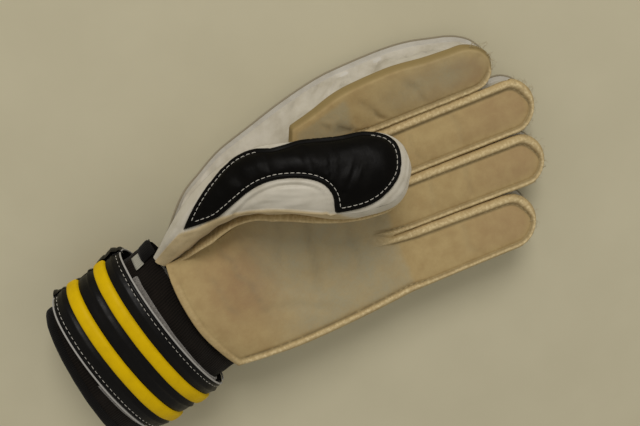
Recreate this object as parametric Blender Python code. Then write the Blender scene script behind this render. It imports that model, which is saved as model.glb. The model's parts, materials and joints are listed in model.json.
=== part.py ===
"""A left-hand goalkeeper glove, lying on its back with the palm up and the thumb folded over the palm.

Frame: +X towards the fingertips, +Y towards the thumb side, +Z up out of the palm. The origin is the
middle of the flat pad on the back of the hand, which the glove rests on.
All shapes are worked out in millimetres and turned into metres when a mesh is made.
"""

import math

import bmesh
import bpy
import numpy as np
from mathutils import Vector

# ---------------------------------------------------------------- driving dimensions, in millimetres
GAP = 0.35  # clearance between neighbouring pieces
LATEX = 4.0  # palm foam
BACK = 3.6  # backhand panel: cover and its foam
FABRIC = 1.8  # side gussets
LINING = 1.0
PAD = 1.9  # the pad on the knuckles, which is the lowest piece
BACK_Z = PAD + GAP  # underside of the backhand panel

SEAM_INSET = 3.4  # the gusset walls stand this far inside the cut edges
CROTCH_X = 57.0
FRONT_RELIEF = 4.8  # the palm face stops this far from a finger's bend axis, so that it can fold
SIDE_RELIEF = 0.6  # and the rest of the finger this far

WRIST = (-58.0, -15.2, 31.0)  # middle of the wrist
CUFF_YAW = math.radians(13.0)  # the cuff is turned towards the little finger
CUFF_LENGTH = 62.0
CUFF_FLARE = 5.0  # and it is this much longer on the palm side, and twice this at the little finger
CUFF_HALF_WIDTH = 41.5
CUFF_HALF_HEIGHT = 23.0
CUFF_STEPS = 36
PALM_ARCH, BACK_ARCH = 21.9, 23.0  # how far the palm and the backhand stand off the wrist's middle
ARCH_FALL = 0.62  # share of the arch lost at the sides of the wrist
NECK_PALM, NECK_BACK = 0.72, 0.78  # the sleeve is flatter by this at its front edge, inside them
NECK = (-2.0, 2.5, 8.0)  # it keeps that height to the second place, and is full at the third
CUFF_WALL = 2.2
STRAP_FROM, STRAP_TO = 12.5, 58.5
HEM_WIDTH = 3.6
LOOP, HOOK, STRAP, STRIPE = 1.2, 0.85, 3.0, 1.2  # thicknesses
LOOP_SKEW = 3.6
STRIPE_WIDTH = 6.4
STRIPE_AT = (0.31, 0.69)  # shares of the strap's width
EDGE_WIDTH = 1.1

# Each finger: middle line at the crotch and at the tip, half width there, bend line, tip.
FINGERS = {
    "index": {"y": (49.2, 47.4), "half": (13.6, 12.4), "bend": 101.0, "tip": 139.5},
    "middle": {"y": (20.3, 19.2), "half": (14.2, 14.2), "bend": 109.0, "tip": 155.0},
    "ring": {"y": (-8.6, -11.6), "half": (13.8, 13.6), "bend": 106.0, "tip": 151.0},
    "little": {"y": (-39.4, -41.2), "half": (15.9, 13.4), "bend": 97.0, "tip": 135.5},
}
NAMES = list(FINGERS)

# The thumb's middle line, and its half width and half thickness along it.
THUMB_LINE = [
    (-40.0, 29.5, 50.0),
    (-22.0, 37.5, 55.0),
    (4.0, 40.5, 60.0),
    (30.0, 30.5, 62.5),
    (54.0, 24.2, 62.0),
    (75.0, 22.5, 60.0),
]
THUMB_HALF_WIDTH = [(0, 7.5), (22, 10.8), (48, 16.2), (75, 17.8), (92, 18.8), (120, 18.8)]
THUMB_HALF_DEPTH = 13.5
THUMB_CROWN = 4.5
PATCH = 1.6
THUMB_ROLL = math.radians(18.0)  # its back leans towards the index side

COLOURS = {
    "latex": ((0.72, 0.62, 0.40), 0.75),
    "white": ((0.80, 0.79, 0.76), 0.6),
    "black": ((0.02, 0.02, 0.02), 0.4),
    "yellow": ((0.85, 0.68, 0.03), 0.5),
    "elastic": ((0.015, 0.015, 0.016), 0.9),
    "grey": ((0.38, 0.38, 0.38), 0.95),
    "piping": ((0.55, 0.55, 0.54), 0.6),
    "lining": ((0.55, 0.55, 0.53), 0.95),
}


# ---------------------------------------------------------------- small helpers
def smoothstep(x, low, high):
    """0 below low, 1 above high, and smooth between them."""
    t = np.clip((np.asarray(x, float) - low) / (high - low), 0.0, 1.0)
    return t * t * (3.0 - 2.0 * t)


def material(name, slot):
    """A piece's own Principled material, in the colour of its slot."""
    colour, roughness = COLOURS[slot]
    made = bpy.data.materials.new(f"{name}_{slot}")
    made.use_nodes = True
    shader = made.node_tree.nodes["Principled BSDF"]
    shader.inputs["Base Color"].default_value = (*colour, 1.0)
    shader.inputs["Roughness"].default_value = roughness
    shader.inputs["Metallic"].default_value = 0.0
    return made


def mesh_object(name, points, faces, slot):
    """An object from points in millimetres and faces, with its normals facing out."""
    mesh = bpy.data.meshes.new(name)
    mesh.from_pydata([tuple(p) for p in np.asarray(points, float) / 1000.0], [], faces)
    shape = bmesh.new()
    shape.from_mesh(mesh)
    bmesh.ops.recalc_face_normals(shape, faces=shape.faces)
    shape.to_mesh(mesh)
    shape.free()
    mesh.shade_smooth()
    mesh.set_sharp_from_angle(angle=math.radians(40.0))
    made = bpy.data.objects.new(name, mesh)
    bpy.context.scene.collection.objects.link(made)
    made.data.materials.append(material(name, slot))
    return made


def sheet(name, outer, inner, slot):
    """A closed sheet between two grids of points of the same size."""
    outer, inner = np.asarray(outer, float), np.asarray(inner, float)
    rows, columns = outer.shape[:2]
    half = rows * columns
    points = np.concatenate([outer.reshape(-1, 3), inner.reshape(-1, 3)])

    def at(r, c):
        return r * columns + c

    faces = []
    for r in range(rows - 1):
        for c in range(columns - 1):
            corner, below, across, right = at(r, c), at(r + 1, c), at(r + 1, c + 1), at(r, c + 1)
            for triangle in ((corner, below, across), (corner, across, right)):
                faces.append(triangle)
                faces.append(tuple(half + i for i in reversed(triangle)))
    border = [at(r, 0) for r in range(rows)]
    border += [at(rows - 1, c) for c in range(1, columns)]
    border += [at(r, columns - 1) for r in range(rows - 2, -1, -1)]
    border += [at(0, c) for c in range(columns - 2, 0, -1)]
    for a, b in zip(border, border[1:] + border[:1]):
        faces.append((a, half + a, half + b, b))
    return mesh_object(name, points, faces, slot)


def prism(name, outline, low=-30.0, high=110.0):
    """A tall prism on a plan outline: a cutter."""
    count = len(outline)
    points = [(x, y, low) for x, y in outline] + [(x, y, high) for x, y in outline]
    faces = [tuple(range(count)), tuple(range(count, 2 * count))]
    faces += [(i, (i + 1) % count, count + (i + 1) % count, count + i) for i in range(count)]
    made = mesh_object(name, points, faces, "grey")
    made.hide_render = True
    made.display_type = "WIRE"
    return made


def keep_inside(target, cutter):
    """Trims target to what lies inside the cutter."""
    trim = target.modifiers.new("Trim", "BOOLEAN")
    trim.operation = "INTERSECT"
    trim.solver = "EXACT"
    trim.object = cutter
    return target


# ---------------------------------------------------------------- the hand's surfaces
def middle_y(finger, x):
    """A finger's middle line."""
    low, high = finger["y"]
    return low + (high - low) * (np.asarray(x, float) - CROTCH_X) / (finger["tip"] - CROTCH_X)


def half_width(finger, x):
    """A finger's half width at x, without its round end."""
    low, high = finger["half"]
    share = np.clip((np.asarray(x, float) - CROTCH_X) / (finger["tip"] - CROTCH_X), 0.0, 1.0)
    return low + (high - low) * share


def wrist_arch(y):
    """Shape of the arch across the wrist: 1 in the middle, and less at the sides."""
    return 1.0 - ARCH_FALL * np.clip((y - WRIST[1]) / (CUFF_HALF_WIDTH + 4.0), -1.2, 1.2) ** 2


def palm_z(x, y):
    """The palm face: arched at the wrist, and cupped under the index and the little finger."""
    x, y = np.asarray(x, float), np.asarray(y, float)
    falling = 27.0 + 22.0 * np.exp(-(x + 60.0) / 60.0)
    cup = 0.36 * np.clip(y - 34.0, 0.0, None) * smoothstep(x, 5.0, 50.0)
    cup += 0.12 * np.clip(-y - 25.0, 0.0, None)
    arched = WRIST[2] + PALM_ARCH * wrist_arch(y)
    share = smoothstep(x, -58.0, -5.0)
    return arched * (1.0 - share) + (falling + cup) * share


def back_z(x, y):
    """The underside of the backhand: flat on the pad, arched up at the wrist, lifted at the fingertips."""
    x, y = np.asarray(x, float), np.asarray(y, float)
    arched = WRIST[2] - BACK_ARCH * wrist_arch(y)
    share = smoothstep(x, -58.0, -22.0)
    lift = 4.0 * smoothstep(x, 85.0, 160.0)
    return arched * (1.0 - share) + (BACK_Z + lift) * share


def slab(name, surface, thickness, x_range, y_range, step, slot):
    """A curved slab whose outer face is the surface, and which lies on one side of it."""
    columns = max(2, round((x_range[1] - x_range[0]) / step) + 1)
    rows = max(2, round((y_range[1] - y_range[0]) / step) + 1)
    x, y = np.meshgrid(np.linspace(*x_range, columns), np.linspace(*y_range, rows), indexing="ij")
    z = surface(x, y)
    return sheet(name, np.dstack([x, y, z]), np.dstack([x, y, z - thickness]), slot)


# ---------------------------------------------------------------- plan outlines
def finger_edge(finger, side, start, grow=0.0, steps=5):
    """One edge of a finger from x = start to its tip; side is +1 for the thumb side."""
    end_half = float(half_width(finger, finger["tip"])) + grow
    round_from = finger["tip"] + grow - 0.95 * end_half
    edge = []
    for x in np.linspace(start, round_from, 4):
        edge.append((float(x), float(middle_y(finger, x)) + side * (float(half_width(finger, x)) + grow)))
    for k in range(1, steps + 1):
        turn = math.pi / 2 * k / steps * 0.93
        x = round_from + 0.95 * end_half * math.sin(turn)
        edge.append((x, float(middle_y(finger, x)) + side * end_half * math.cos(turn)))
    return edge


def finger_outline(finger, start, grow=0.0):
    """The closed plan outline of a finger's end, from x = start."""
    return finger_edge(finger, -1, start, grow) + finger_edge(finger, 1, start, grow)[::-1]


def knuckle_edges(name, inset=0.0):
    """The two sides of a finger's near half: thumb side and little-finger side, from crotch to bend."""
    finger = FINGERS[name]
    end = finger["bend"]
    sides = []
    for side in (1, -1):
        sides.append(
            [
                (float(x), float(middle_y(finger, x)) + side * (float(half_width(finger, x)) - inset))
                for x in (CROTCH_X, 0.5 * (CROTCH_X + end), end)
            ]
        )
    return sides


# The cut edge of the palm foam beside the thumb, and of the backhand on that side.
PALM_THUMB_EDGE = [(-59.0, 14.5), (-36.0, 17.0), (-8.0, 26.0), (14.0, 38.0), (25.0, 53.0), (40.0, 59.5)]
BACK_THUMB_EDGE = [(-57, 20), (-42, 38), (-28, 45.5), (-14, 52), (5, 58), (28, 64.5), (50, 69), (66, 70.5)]
LITTLE_EDGE = [(-47.0, -53.5), (-10.0, -57.0), (25.0, -57.0)]


def hand_outline(thumb_edge, wrist, index_outer, relief):
    """The outline of a whole-hand panel: wrist, thumb side, the four near fingers with slots, little side."""
    outline = list(thumb_edge) + index_outer
    for number, name in enumerate(NAMES):
        finger = FINGERS[name]
        end = finger["bend"] - relief
        thumb_side, little_side = knuckle_edges(name)
        if number:
            outline.append(thumb_side[0])
            outline.append((end, thumb_side[-1][1]))
        if name != NAMES[-1]:
            outline.append((end, little_side[-1][1]))
            outline.append(little_side[0])
        else:
            outline.append((end, little_side[-1][1]))
    outline += LITTLE_EDGE[::-1]
    return outline + wrist


def palm_outline(relief):
    index = FINGERS["index"]
    end = index["bend"] - relief
    outer = [(70.0, 62.2), (end, float(middle_y(index, end) + half_width(index, end)))]
    wrist = [(-57.5, -27.0), (-60.5, -6.0)]
    return hand_outline(PALM_THUMB_EDGE, wrist, outer, relief)


def index_back_half(x):
    """Half width of the index finger's back on its thumb side, which flares out over the web."""
    x = np.asarray(x, float)
    return 12.2 + 9.6 * (1.0 - smoothstep(x, 98.0, 142.0))


def back_outline(relief):
    index = FINGERS["index"]
    end = index["bend"] - relief
    outer = [(end, float(middle_y(index, end) + index_back_half(end)))]
    wrist = [(-56.5, -27.0), (-59.5, -6.0)]
    return hand_outline(BACK_THUMB_EDGE, wrist, outer, relief)


# ---------------------------------------------------------------- walls
def wall(name, top_path, bottom_path, thickness, slot, top_gap, bottom_gap):
    """A standing wall between the palm foam and the backhand, along two plan paths with as many points.
    The thickness lies to the left of the path."""
    top, bottom = np.asarray(top_path, float), np.asarray(bottom_path, float)

    def leftwards(path):
        along = np.gradient(path, axis=0)
        normal = np.stack([-along[:, 1], along[:, 0]], axis=1)
        return path + thickness * normal / np.linalg.norm(normal, axis=1)[:, None]

    def raised(low, high):
        low_z = back_z(low[:, 0], low[:, 1]) + BACK + bottom_gap
        high_z = palm_z(high[:, 0], high[:, 1]) - LATEX - top_gap
        rows = []
        for share in (0.0, 0.5, 1.0):
            flat = low * (1.0 - share) + high * share
            rows.append(np.column_stack([flat, low_z * (1.0 - share) + high_z * share]))
        return np.array(rows)

    return sheet(name, raised(bottom, top), raised(leftwards(bottom), leftwards(top)), slot)


def resample(path, count):
    """Points spaced evenly along a path."""
    path = np.asarray(path, float)
    along = np.concatenate([[0.0], np.cumsum(np.linalg.norm(np.diff(path, axis=0), axis=1))])
    at = np.linspace(0.0, along[-1], count)
    return np.stack([np.interp(at, along, path[:, k]) for k in range(2)], axis=1)


# ---------------------------------------------------------------- pieces of the hand
def build_hand():
    """Palm foam, backhand, their linings, the knuckle pad and the gussets of the near hand."""
    palm = slab("palm_latex", palm_z, LATEX, (-64, 112), (-62, 70), 11.0, "latex")
    keep_inside(palm, prism("cut_palm", palm_outline(FRONT_RELIEF)))
    lining_top = lambda x, y: palm_z(x, y) - LATEX - 3.0 * GAP
    lining = slab("palm_lining", lining_top, LINING, (-48, 51), (-51, 37), 11.0, "lining")
    inner = [(-38, -38), (-41, 8), (-32, 10), (-8, 18), (12, 28), (24, 34), (45, 34), (45, -46), (0, -46)]
    keep_inside(lining, prism("cut_palm_lining", inner))

    back_top = lambda x, y: back_z(x, y) + BACK
    back = slab("backhand_panel", back_top, BACK, (-64, 112), (-62, 84), 11.0, "white")
    keep_inside(back, prism("cut_back", back_outline(SIDE_RELIEF)))
    inside_z = lambda x, y: back_z(x, y) + BACK + 3.0 * GAP + LINING
    back_lining = slab("backhand_lining", inside_z, LINING, (-42, 46), (-51, 59), 11.0, "lining")
    inner = [(-36, -40), (-38, 12), (-26, 32), (-12, 42), (8, 51), (30, 58), (45, 58), (45, -46), (0, -46)]
    keep_inside(back_lining, prism("cut_back_lining", inner))
    build_knuckle_pad()

    for first, second in zip(NAMES, NAMES[1:]):
        build_fourchette(first, second)
    build_side_gussets()


def build_knuckle_pad():
    """The flat pad on the back of the hand."""
    outline = [(-26, -34), (-30, -10), (-28, 18), (-14, 36), (8, 44), (36, 46), (36, -46), (0, -46)]
    count = len(outline)
    points = [(x, y, z) for z in (0.0, PAD) for x, y in outline]
    faces = [tuple(range(count)), tuple(range(count, 2 * count))]
    faces += [(i, (i + 1) % count, count + (i + 1) % count, count + i) for i in range(count)]
    mesh_object("knuckle_pad", points, faces, "black")


def build_fourchette(first, second):
    """The U-shaped gusset between two fingers, from bend line to crotch and back."""
    upper, lower = FINGERS[first], FINGERS[second]
    path = []
    for x in (upper["bend"] - SIDE_RELIEF, 80.0, CROTCH_X + 4.0):
        path.append((x, float(middle_y(upper, x) - half_width(upper, x)) + SEAM_INSET))
    upper_side = float(middle_y(upper, CROTCH_X) - half_width(upper, CROTCH_X))
    lower_side = float(middle_y(lower, CROTCH_X) + half_width(lower, CROTCH_X))
    between = 0.5 * (upper_side + lower_side)
    path += [(CROTCH_X - 2.5, between + 2.6), (CROTCH_X - 4.0, between), (CROTCH_X - 2.5, between - 2.6)]
    for x in (CROTCH_X + 4.0, 80.0, lower["bend"] - SIDE_RELIEF):
        path.append((x, float(middle_y(lower, x) + half_width(lower, x)) - SEAM_INSET))
    wall(f"fourchette_{first}_{second}", path, path, FABRIC, "white", GAP, GAP)


def build_side_gussets():
    """The outer walls of the hand."""
    little, index = FINGERS["little"], FINGERS["index"]
    path = [(-42.0, -49.0), (-8.0, -52.8), (25.0, -53.2), (CROTCH_X, -51.8)]
    end = little["bend"] - SIDE_RELIEF
    path.append((end, float(middle_y(little, end) - half_width(little, end)) + SEAM_INSET))
    wall("little_side_gusset", resample(path, 9), resample(path, 9), FABRIC, "white", 1.0, 1.3)

    end = index["bend"] - SIDE_RELIEF
    top = [(end, float(middle_y(index, end) + half_width(index, end)) - SEAM_INSET)]
    top += [(70.0, 58.8), (41.0, 56.0), (30.0, 53.0)]
    bottom = [(end, float(middle_y(index, end) + index_back_half(end)) - SEAM_INSET)]
    bottom += [(68.0, 66.6), (48.0, 65.2), (34.0, 62.2)]
    wall("index_side_gusset", resample(top, 6), resample(bottom, 6), FABRIC, "white", GAP, GAP)

    top = [(27.8, 50.0), (14.0, 34.0), (-8.0, 22.5), (-34.0, 13.5), (-50.0, 11.5)]
    bottom = [(32.8, 61.8), (6.0, 54.2), (-14.0, 48.2), (-32.0, 38.0), (-48.0, 22.0)]
    wall("thumb_web_gusset", resample(top, 9), resample(bottom, 9), FABRIC, "white", 0.9, 1.2)


def build_fingers():
    """Palm face, back and wrap-round gusset of each finger beyond its bend line."""
    for name, finger in FINGERS.items():
        start = finger["bend"]
        y_mid = float(middle_y(finger, start))
        reach = max(finger["half"]) + 6.0
        spans = ((start - 2.0, finger["tip"] + 4.0), (y_mid - reach - 3.0, y_mid + reach))
        face = slab(f"{name}_latex", palm_z, LATEX, *spans, 7.5, "latex")
        keep_inside(face, prism(f"cut_{name}_latex", finger_outline(finger, start + FRONT_RELIEF)))

        spans = ((start - 2.0, finger["tip"] + 4.0), (y_mid - reach - 3.0, y_mid + reach + 14.0))
        back = slab(f"{name}_back", lambda x, y: back_z(x, y) + BACK, BACK, *spans, 9.0, "white")
        outline = finger_outline(finger, start + SIDE_RELIEF)
        if name == "index":
            outline = index_back_outline(finger, start + SIDE_RELIEF)
        keep_inside(back, prism(f"cut_{name}_back", outline))

        begin = start + SIDE_RELIEF
        top = finger_edge(finger, -1, begin, -SEAM_INSET) + finger_edge(finger, 1, begin, -SEAM_INSET)[::-1]
        bottom = top
        if name == "index":
            bottom = [(x, index_gusset_foot(finger, x, y)) for x, y in top]
        wall(f"{name}_gusset", top, bottom, FABRIC, "white", GAP, GAP)


def index_gusset_foot(finger, x, y):
    """Moves a point of the index finger's outer wall out to the flared edge of its back."""
    half = float(half_width(finger, x))
    outside = np.clip((y - float(middle_y(finger, x))) / (half - SEAM_INSET), 0.0, 1.0)
    flare = float(index_back_half(x)) - half
    return y + outside * max(flare, 0.0)


def index_back_outline(finger, start):
    """The index finger's back: flared on the thumb side near the bend line."""
    outer = finger_edge(finger, 1, start)
    flared = [(x, index_gusset_foot(finger, x, y)) for x, y in outer]
    return finger_edge(finger, -1, start) + flared[::-1]


# ---------------------------------------------------------------- thumb
def along_thumb():
    """Lengths along the thumb's middle line at its points."""
    line = np.array(THUMB_LINE, float)
    return np.concatenate([[0.0], np.cumsum(np.linalg.norm(np.diff(line, axis=0), axis=1))])


def thumb_frame(at):
    """Point, sideways and backwards unit vectors of the thumb at a length along its middle line."""
    line, lengths = np.array(THUMB_LINE, float), along_thumb()
    smooth = [np.polyfit(lengths, line[:, k], 4) for k in range(3)]
    point = np.array([np.polyval(c, at) for c in smooth])
    ahead = Vector([float(np.polyval(np.polyder(c), at)) for c in smooth]).normalized()
    lean = Vector((0.0, math.sin(THUMB_ROLL), math.cos(THUMB_ROLL)))
    back = (lean - ahead * lean.dot(ahead)).normalized()
    side = back.cross(ahead).normalized()
    return point, np.array(side), np.array(back)


def thumb_half(at, inset=0.0):
    """Half width of the thumb, less an inset, at a length along it, with its round end."""
    length = along_thumb()[-1] - inset
    body = float(np.interp(at, *zip(*THUMB_HALF_WIDTH))) - inset
    if at <= length - body:
        return body
    return body * math.sqrt(max(1.0 - ((at - length + body) / body) ** 2, 0.0))


def thumb_rows(inset=0.0):
    """Lengths along the thumb at which its pieces have a row of points."""
    length = along_thumb()[-1] - inset
    body = THUMB_HALF_WIDTH[-1][1] - inset
    straight = list(np.linspace(0.0, length - body, 8))
    round_end = [length - body + body * math.sin(math.pi / 2 * k / 4 * 0.93) for k in range(1, 5)]
    return straight + round_end


def thumb_panel(name, facing, outer, thickness, slot, edges=None):
    """A crowned panel on the palm side (facing -1) or the back (facing +1) of the thumb."""
    outside, inside = [], []
    for at in thumb_rows():
        point, side, back = thumb_frame(at)
        half = thumb_half(at)
        row_out, row_in = [], []
        for share in np.linspace(*(edges(at) if edges else (-1.0, 1.0)), 7):
            depth = outer - THUMB_CROWN * share**2
            row_out.append(point + side * half * share + back * facing * depth)
            row_in.append(point + side * half * share + back * facing * (depth - thickness))
        outside.append(row_out)
        inside.append(row_in)
    return sheet(name, outside, inside, slot)


def build_thumb():
    """Foam palm side, white back, the gusset round the edge, and the black patch on the back."""
    front, panel = THUMB_HALF_DEPTH + 2.0, 2.4
    thumb_panel("thumb_latex", -1, front, LATEX, "latex")
    thumb_panel("thumb_back_panel", 1, THUMB_HALF_DEPTH, panel, "white")
    thumb_panel("thumb_patch", 1, THUMB_HALF_DEPTH + PATCH + 1.8, PATCH, "black", edges=patch_edges)

    low = THUMB_CROWN + LATEX + GAP - front
    high = THUMB_HALF_DEPTH - panel - THUMB_CROWN - GAP
    grids = []
    for inset in (SEAM_INSET - 1.0, SEAM_INSET - 1.0 + FABRIC):
        rows = thumb_rows(inset)
        path = [(at, -1) for at in rows] + [(at, 1) for at in rows[::-1]]
        grid = []
        for height in (low, 0.5 * (low + high), high):
            frames = [(thumb_frame(at), thumb_half(at, inset) * sign) for at, sign in path]
            grid.append([point + side * reach + back * height for (point, side, back), reach in frames])
        grids.append(grid)
    sheet("thumb_gusset", *grids, "white")


def patch_edges(at):
    """The patch's two edges, as shares of the half width: all of it at the tip, and its index side
    only nearer the wrist."""
    return -0.08 - 0.78 * float(smoothstep(at, 64.0, 86.0)), 0.9


# ---------------------------------------------------------------- cuff and strap
def cuff_axes():
    """Direction towards the arm, and sideways towards the thumb."""
    ahead = np.array([-math.cos(CUFF_YAW), -math.sin(CUFF_YAW), 0.0])
    side = np.array([-math.sin(CUFF_YAW), math.cos(CUFF_YAW), 0.0])
    return ahead, side


def cuff_point(along, degrees, out):
    """A point round the cuff: 0 degrees at the thumb side, 90 at the palm; out from the sleeve's face.
    Every layer has its corners at the same angles, so that they nest."""
    ahead, side = cuff_axes()
    step = 360.0 / CUFF_STEPS
    first = math.floor(degrees / step + 1e-6)
    share = degrees / step - first
    corners = []
    for corner in (first, first + 1):
        angle = math.radians(corner * step)
        neck = NECK_PALM if math.sin(angle) > 0 else NECK_BACK
        flat = np.interp(along, NECK, (neck, neck, 1.0))
        point = np.array(WRIST) + ahead * along + side * (CUFF_HALF_WIDTH + out) * math.cos(angle)
        point[2] += (CUFF_HALF_HEIGHT * flat + out) * math.sin(angle)
        corners.append(point)
    return corners[0] * (1.0 - share) + corners[1] * share


def cuff_band(name, along, angles, out, thickness, slot, skew=0.0):
    """A band bent round the cuff. skew moves its thumb end forwards and its little-finger end back."""
    step = 360 // CUFF_STEPS
    inner_angles = [a for a in range(0, 361, step) if angles[0] < a < angles[1]]
    outer, inner = [], []
    for angle in [angles[0], *inner_angles, angles[1]]:
        shift = skew * math.cos(math.radians(angle))
        places = (along[0] - shift, along[1] - shift)
        outer.append([cuff_point(a, angle, out + thickness) for a in places])
        inner.append([cuff_point(a, angle, out) for a in places])
    return sheet(name, outer, inner, slot)


def cuff_ring(name, places, out, thickness, slot):
    """A closed sleeve round the cuff, with a ring of points at each place along it."""
    rows, steps = len(places), CUFF_STEPS
    points = []
    for layer in (out + thickness, out):
        for along in places:
            for k in range(steps):
                flare = CUFF_FLARE * (1.0 - math.cos(2 * math.pi * k / steps)) if along > STRAP_TO else 0.0
                points.append(cuff_point(along + flare, 360.0 * k / steps, layer))

    def at(layer, row, k):
        return (layer * rows + row) * steps + k % steps

    faces = []
    for k in range(steps):
        for row in range(rows - 1):
            for layer in (0, 1):
                faces.append([at(layer, row, k), at(layer, row, k + 1), at(layer, row + 1, k + 1)])
                faces.append([at(layer, row, k), at(layer, row + 1, k + 1), at(layer, row + 1, k)])
        for row in (0, rows - 1):
            faces.append([at(0, row, k), at(0, row, k + 1), at(1, row, k + 1), at(1, row, k)])
    return mesh_object(name, points, faces, slot)


def build_cuff():
    """The elastic sleeve with its lining and hem, the loop band, and the two small tabs."""
    lining_out = -CUFF_WALL - GAP - LINING
    hem = (CUFF_LENGTH + GAP, CUFF_LENGTH + HEM_WIDTH)
    cuff_ring("cuff_sleeve", (*NECK, CUFF_LENGTH), -CUFF_WALL, CUFF_WALL, "elastic")
    cuff_ring("cuff_lining", (*NECK[1:], CUFF_LENGTH), lining_out, LINING, "lining")
    cuff_ring("cuff_hem", hem, -CUFF_WALL - 0.6, CUFF_WALL + 1.4, "elastic")
    cuff_band("loop_band", (STRAP_FROM - 0.5, STRAP_TO), (14, 172), GAP, LOOP, "grey", skew=LOOP_SKEW)
    cuff_band("side_tab", (0.4, 7.9), (16.0, 29.0), 2.0 * GAP, 2.2, "elastic")
    cuff_band("size_label", (2.6, 7.8), (36.0, 44.0), 2.0 * GAP, 0.9, "white")


def build_strap():
    """The strap: the part sewn round the back of the wrist, and the part that opens over the palm side."""
    under = GAP + LOOP + GAP
    strap_out = under + HOOK + GAP
    width = STRAP_TO - STRAP_FROM
    band = (STRAP_FROM + EDGE_WIDTH + GAP, STRAP_TO - EDGE_WIDTH - GAP)
    arch = (1.5, 176.0)
    for prefix, angles in (("strap", arch), ("base", (179.0, 358.5))):
        cuff_band(f"{prefix}_band", band, angles, strap_out, STRAP, "black")
        for label, share in zip(("front", "rear"), STRIPE_AT):
            middle = STRAP_FROM + width * share
            span = (middle - STRIPE_WIDTH / 2, middle + STRIPE_WIDTH / 2)
            cuff_band(f"{prefix}_stripe_{label}", span, angles, strap_out + STRAP + GAP, STRIPE, "yellow")
    for label, start in (("front", STRAP_FROM), ("rear", STRAP_TO - EDGE_WIDTH)):
        cuff_band(f"strap_edge_{label}", (start, start + EDGE_WIDTH), arch, strap_out, STRAP, "piping")
    cuff_band("hook_pad", (STRAP_FROM + 4.0, STRAP_TO - 4.0), (134, 174), under, HOOK, "elastic")


def clear_scene():
    """Removes what the startup file holds."""
    for item in list(bpy.data.objects):
        bpy.data.objects.remove(item)


def main():
    clear_scene()
    build_hand()
    build_fingers()
    build_thumb()
    build_cuff()
    build_strap()


main()
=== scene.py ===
import json
import math

import bpy
import numpy as np
from mathutils import Matrix, Vector, noise
from mathutils.geometry import delaunay_2d_cdt

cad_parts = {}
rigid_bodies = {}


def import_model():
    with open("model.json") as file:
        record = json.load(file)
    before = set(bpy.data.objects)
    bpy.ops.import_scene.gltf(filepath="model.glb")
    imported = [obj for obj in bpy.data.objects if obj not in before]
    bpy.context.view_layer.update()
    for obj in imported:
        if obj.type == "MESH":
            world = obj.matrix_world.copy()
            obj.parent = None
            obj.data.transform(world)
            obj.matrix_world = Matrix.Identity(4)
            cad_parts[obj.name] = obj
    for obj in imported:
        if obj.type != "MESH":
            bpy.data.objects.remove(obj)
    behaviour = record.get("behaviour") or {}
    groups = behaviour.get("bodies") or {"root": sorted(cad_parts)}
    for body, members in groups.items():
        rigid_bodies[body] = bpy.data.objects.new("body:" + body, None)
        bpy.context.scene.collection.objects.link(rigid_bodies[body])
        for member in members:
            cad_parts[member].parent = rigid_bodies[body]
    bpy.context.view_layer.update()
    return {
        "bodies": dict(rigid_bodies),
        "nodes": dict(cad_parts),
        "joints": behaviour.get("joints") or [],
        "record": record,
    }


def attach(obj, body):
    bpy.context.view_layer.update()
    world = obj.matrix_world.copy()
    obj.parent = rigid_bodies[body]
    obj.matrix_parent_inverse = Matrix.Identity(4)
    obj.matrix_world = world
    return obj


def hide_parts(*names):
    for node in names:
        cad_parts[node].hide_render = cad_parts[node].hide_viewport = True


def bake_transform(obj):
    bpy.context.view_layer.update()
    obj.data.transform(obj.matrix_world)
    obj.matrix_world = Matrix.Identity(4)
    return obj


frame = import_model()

# The looks of a left-hand goalkeeper glove. Shapes are worked out in millimetres in the CAD frame.
RANDOM = np.random.default_rng(11)

# ---------------------------------------------------------------- sizes, as in the CAD
CROTCH_X = 57.0
FINGERS = {
    "index": {"y": (49.2, 47.4), "half": (13.9, 13.2), "bend": 101.0, "tip": 140.0},
    "middle": {"y": (20.3, 19.2), "half": (14.6, 15.0), "bend": 109.0, "tip": 156.0},
    "ring": {"y": (-8.6, -11.6), "half": (14.2, 14.5), "bend": 106.0, "tip": 152.0},
    "little": {"y": (-39.4, -41.2), "half": (16.4, 14.8), "bend": 97.0, "tip": 136.5},
}
NAMES = list(FINGERS)
LABELS = ["hand", *NAMES]
BLEND = 11.0  # a finger's own pieces start this much, and 1.5 more, before its bend line
WRIST = np.array((-58.0, -15.2, 31.0))
CUFF_YAW = math.radians(13.0)
CUFF_WIDE, CUFF_HIGH = 41.5, 23.0
CUFF_LENGTH, CUFF_FLARE = 62.0, 5.0
STRAP_FROM, STRAP_TO = 12.5, 58.5
STRAP_OUT = 3.1  # how far the strap's inner face stands out from the cuff
BACK_Z = 2.25
THUMB_LINE = [
    (-40, 29.5, 50), (-22, 37.5, 55), (4, 40.5, 60), (30, 30.5, 62.5), (54, 24.2, 62), (75, 22.5, 60)
]
THUMB_HALF_WIDTH = [(0, 7.5), (22, 10.8), (48, 16.2), (75, 17.8), (92, 18.8), (120, 18.8)]


# ---------------------------------------------------------------- helpers
def smooth(x, low, high):
    """0 below low, 1 above high, and a soft step between."""
    t = np.clip((np.asarray(x, float) - low) / (high - low), 0.0, 1.0)
    return t * t * (3.0 - 2.0 * t)


def waves(points, scale, seed=0.0):
    """Smooth noise at each point, about -1 to 1."""
    points = np.asarray(points, float) / scale
    if points.shape[1] == 2:
        points = np.column_stack([points, np.zeros(len(points))])
    roughness, spacing, octaves = 0.7, 2.0, 2
    shift = Vector((seed, 0, 0))
    return np.array([noise.fractal(Vector(p) + shift, roughness, spacing, octaves) for p in points])


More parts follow.
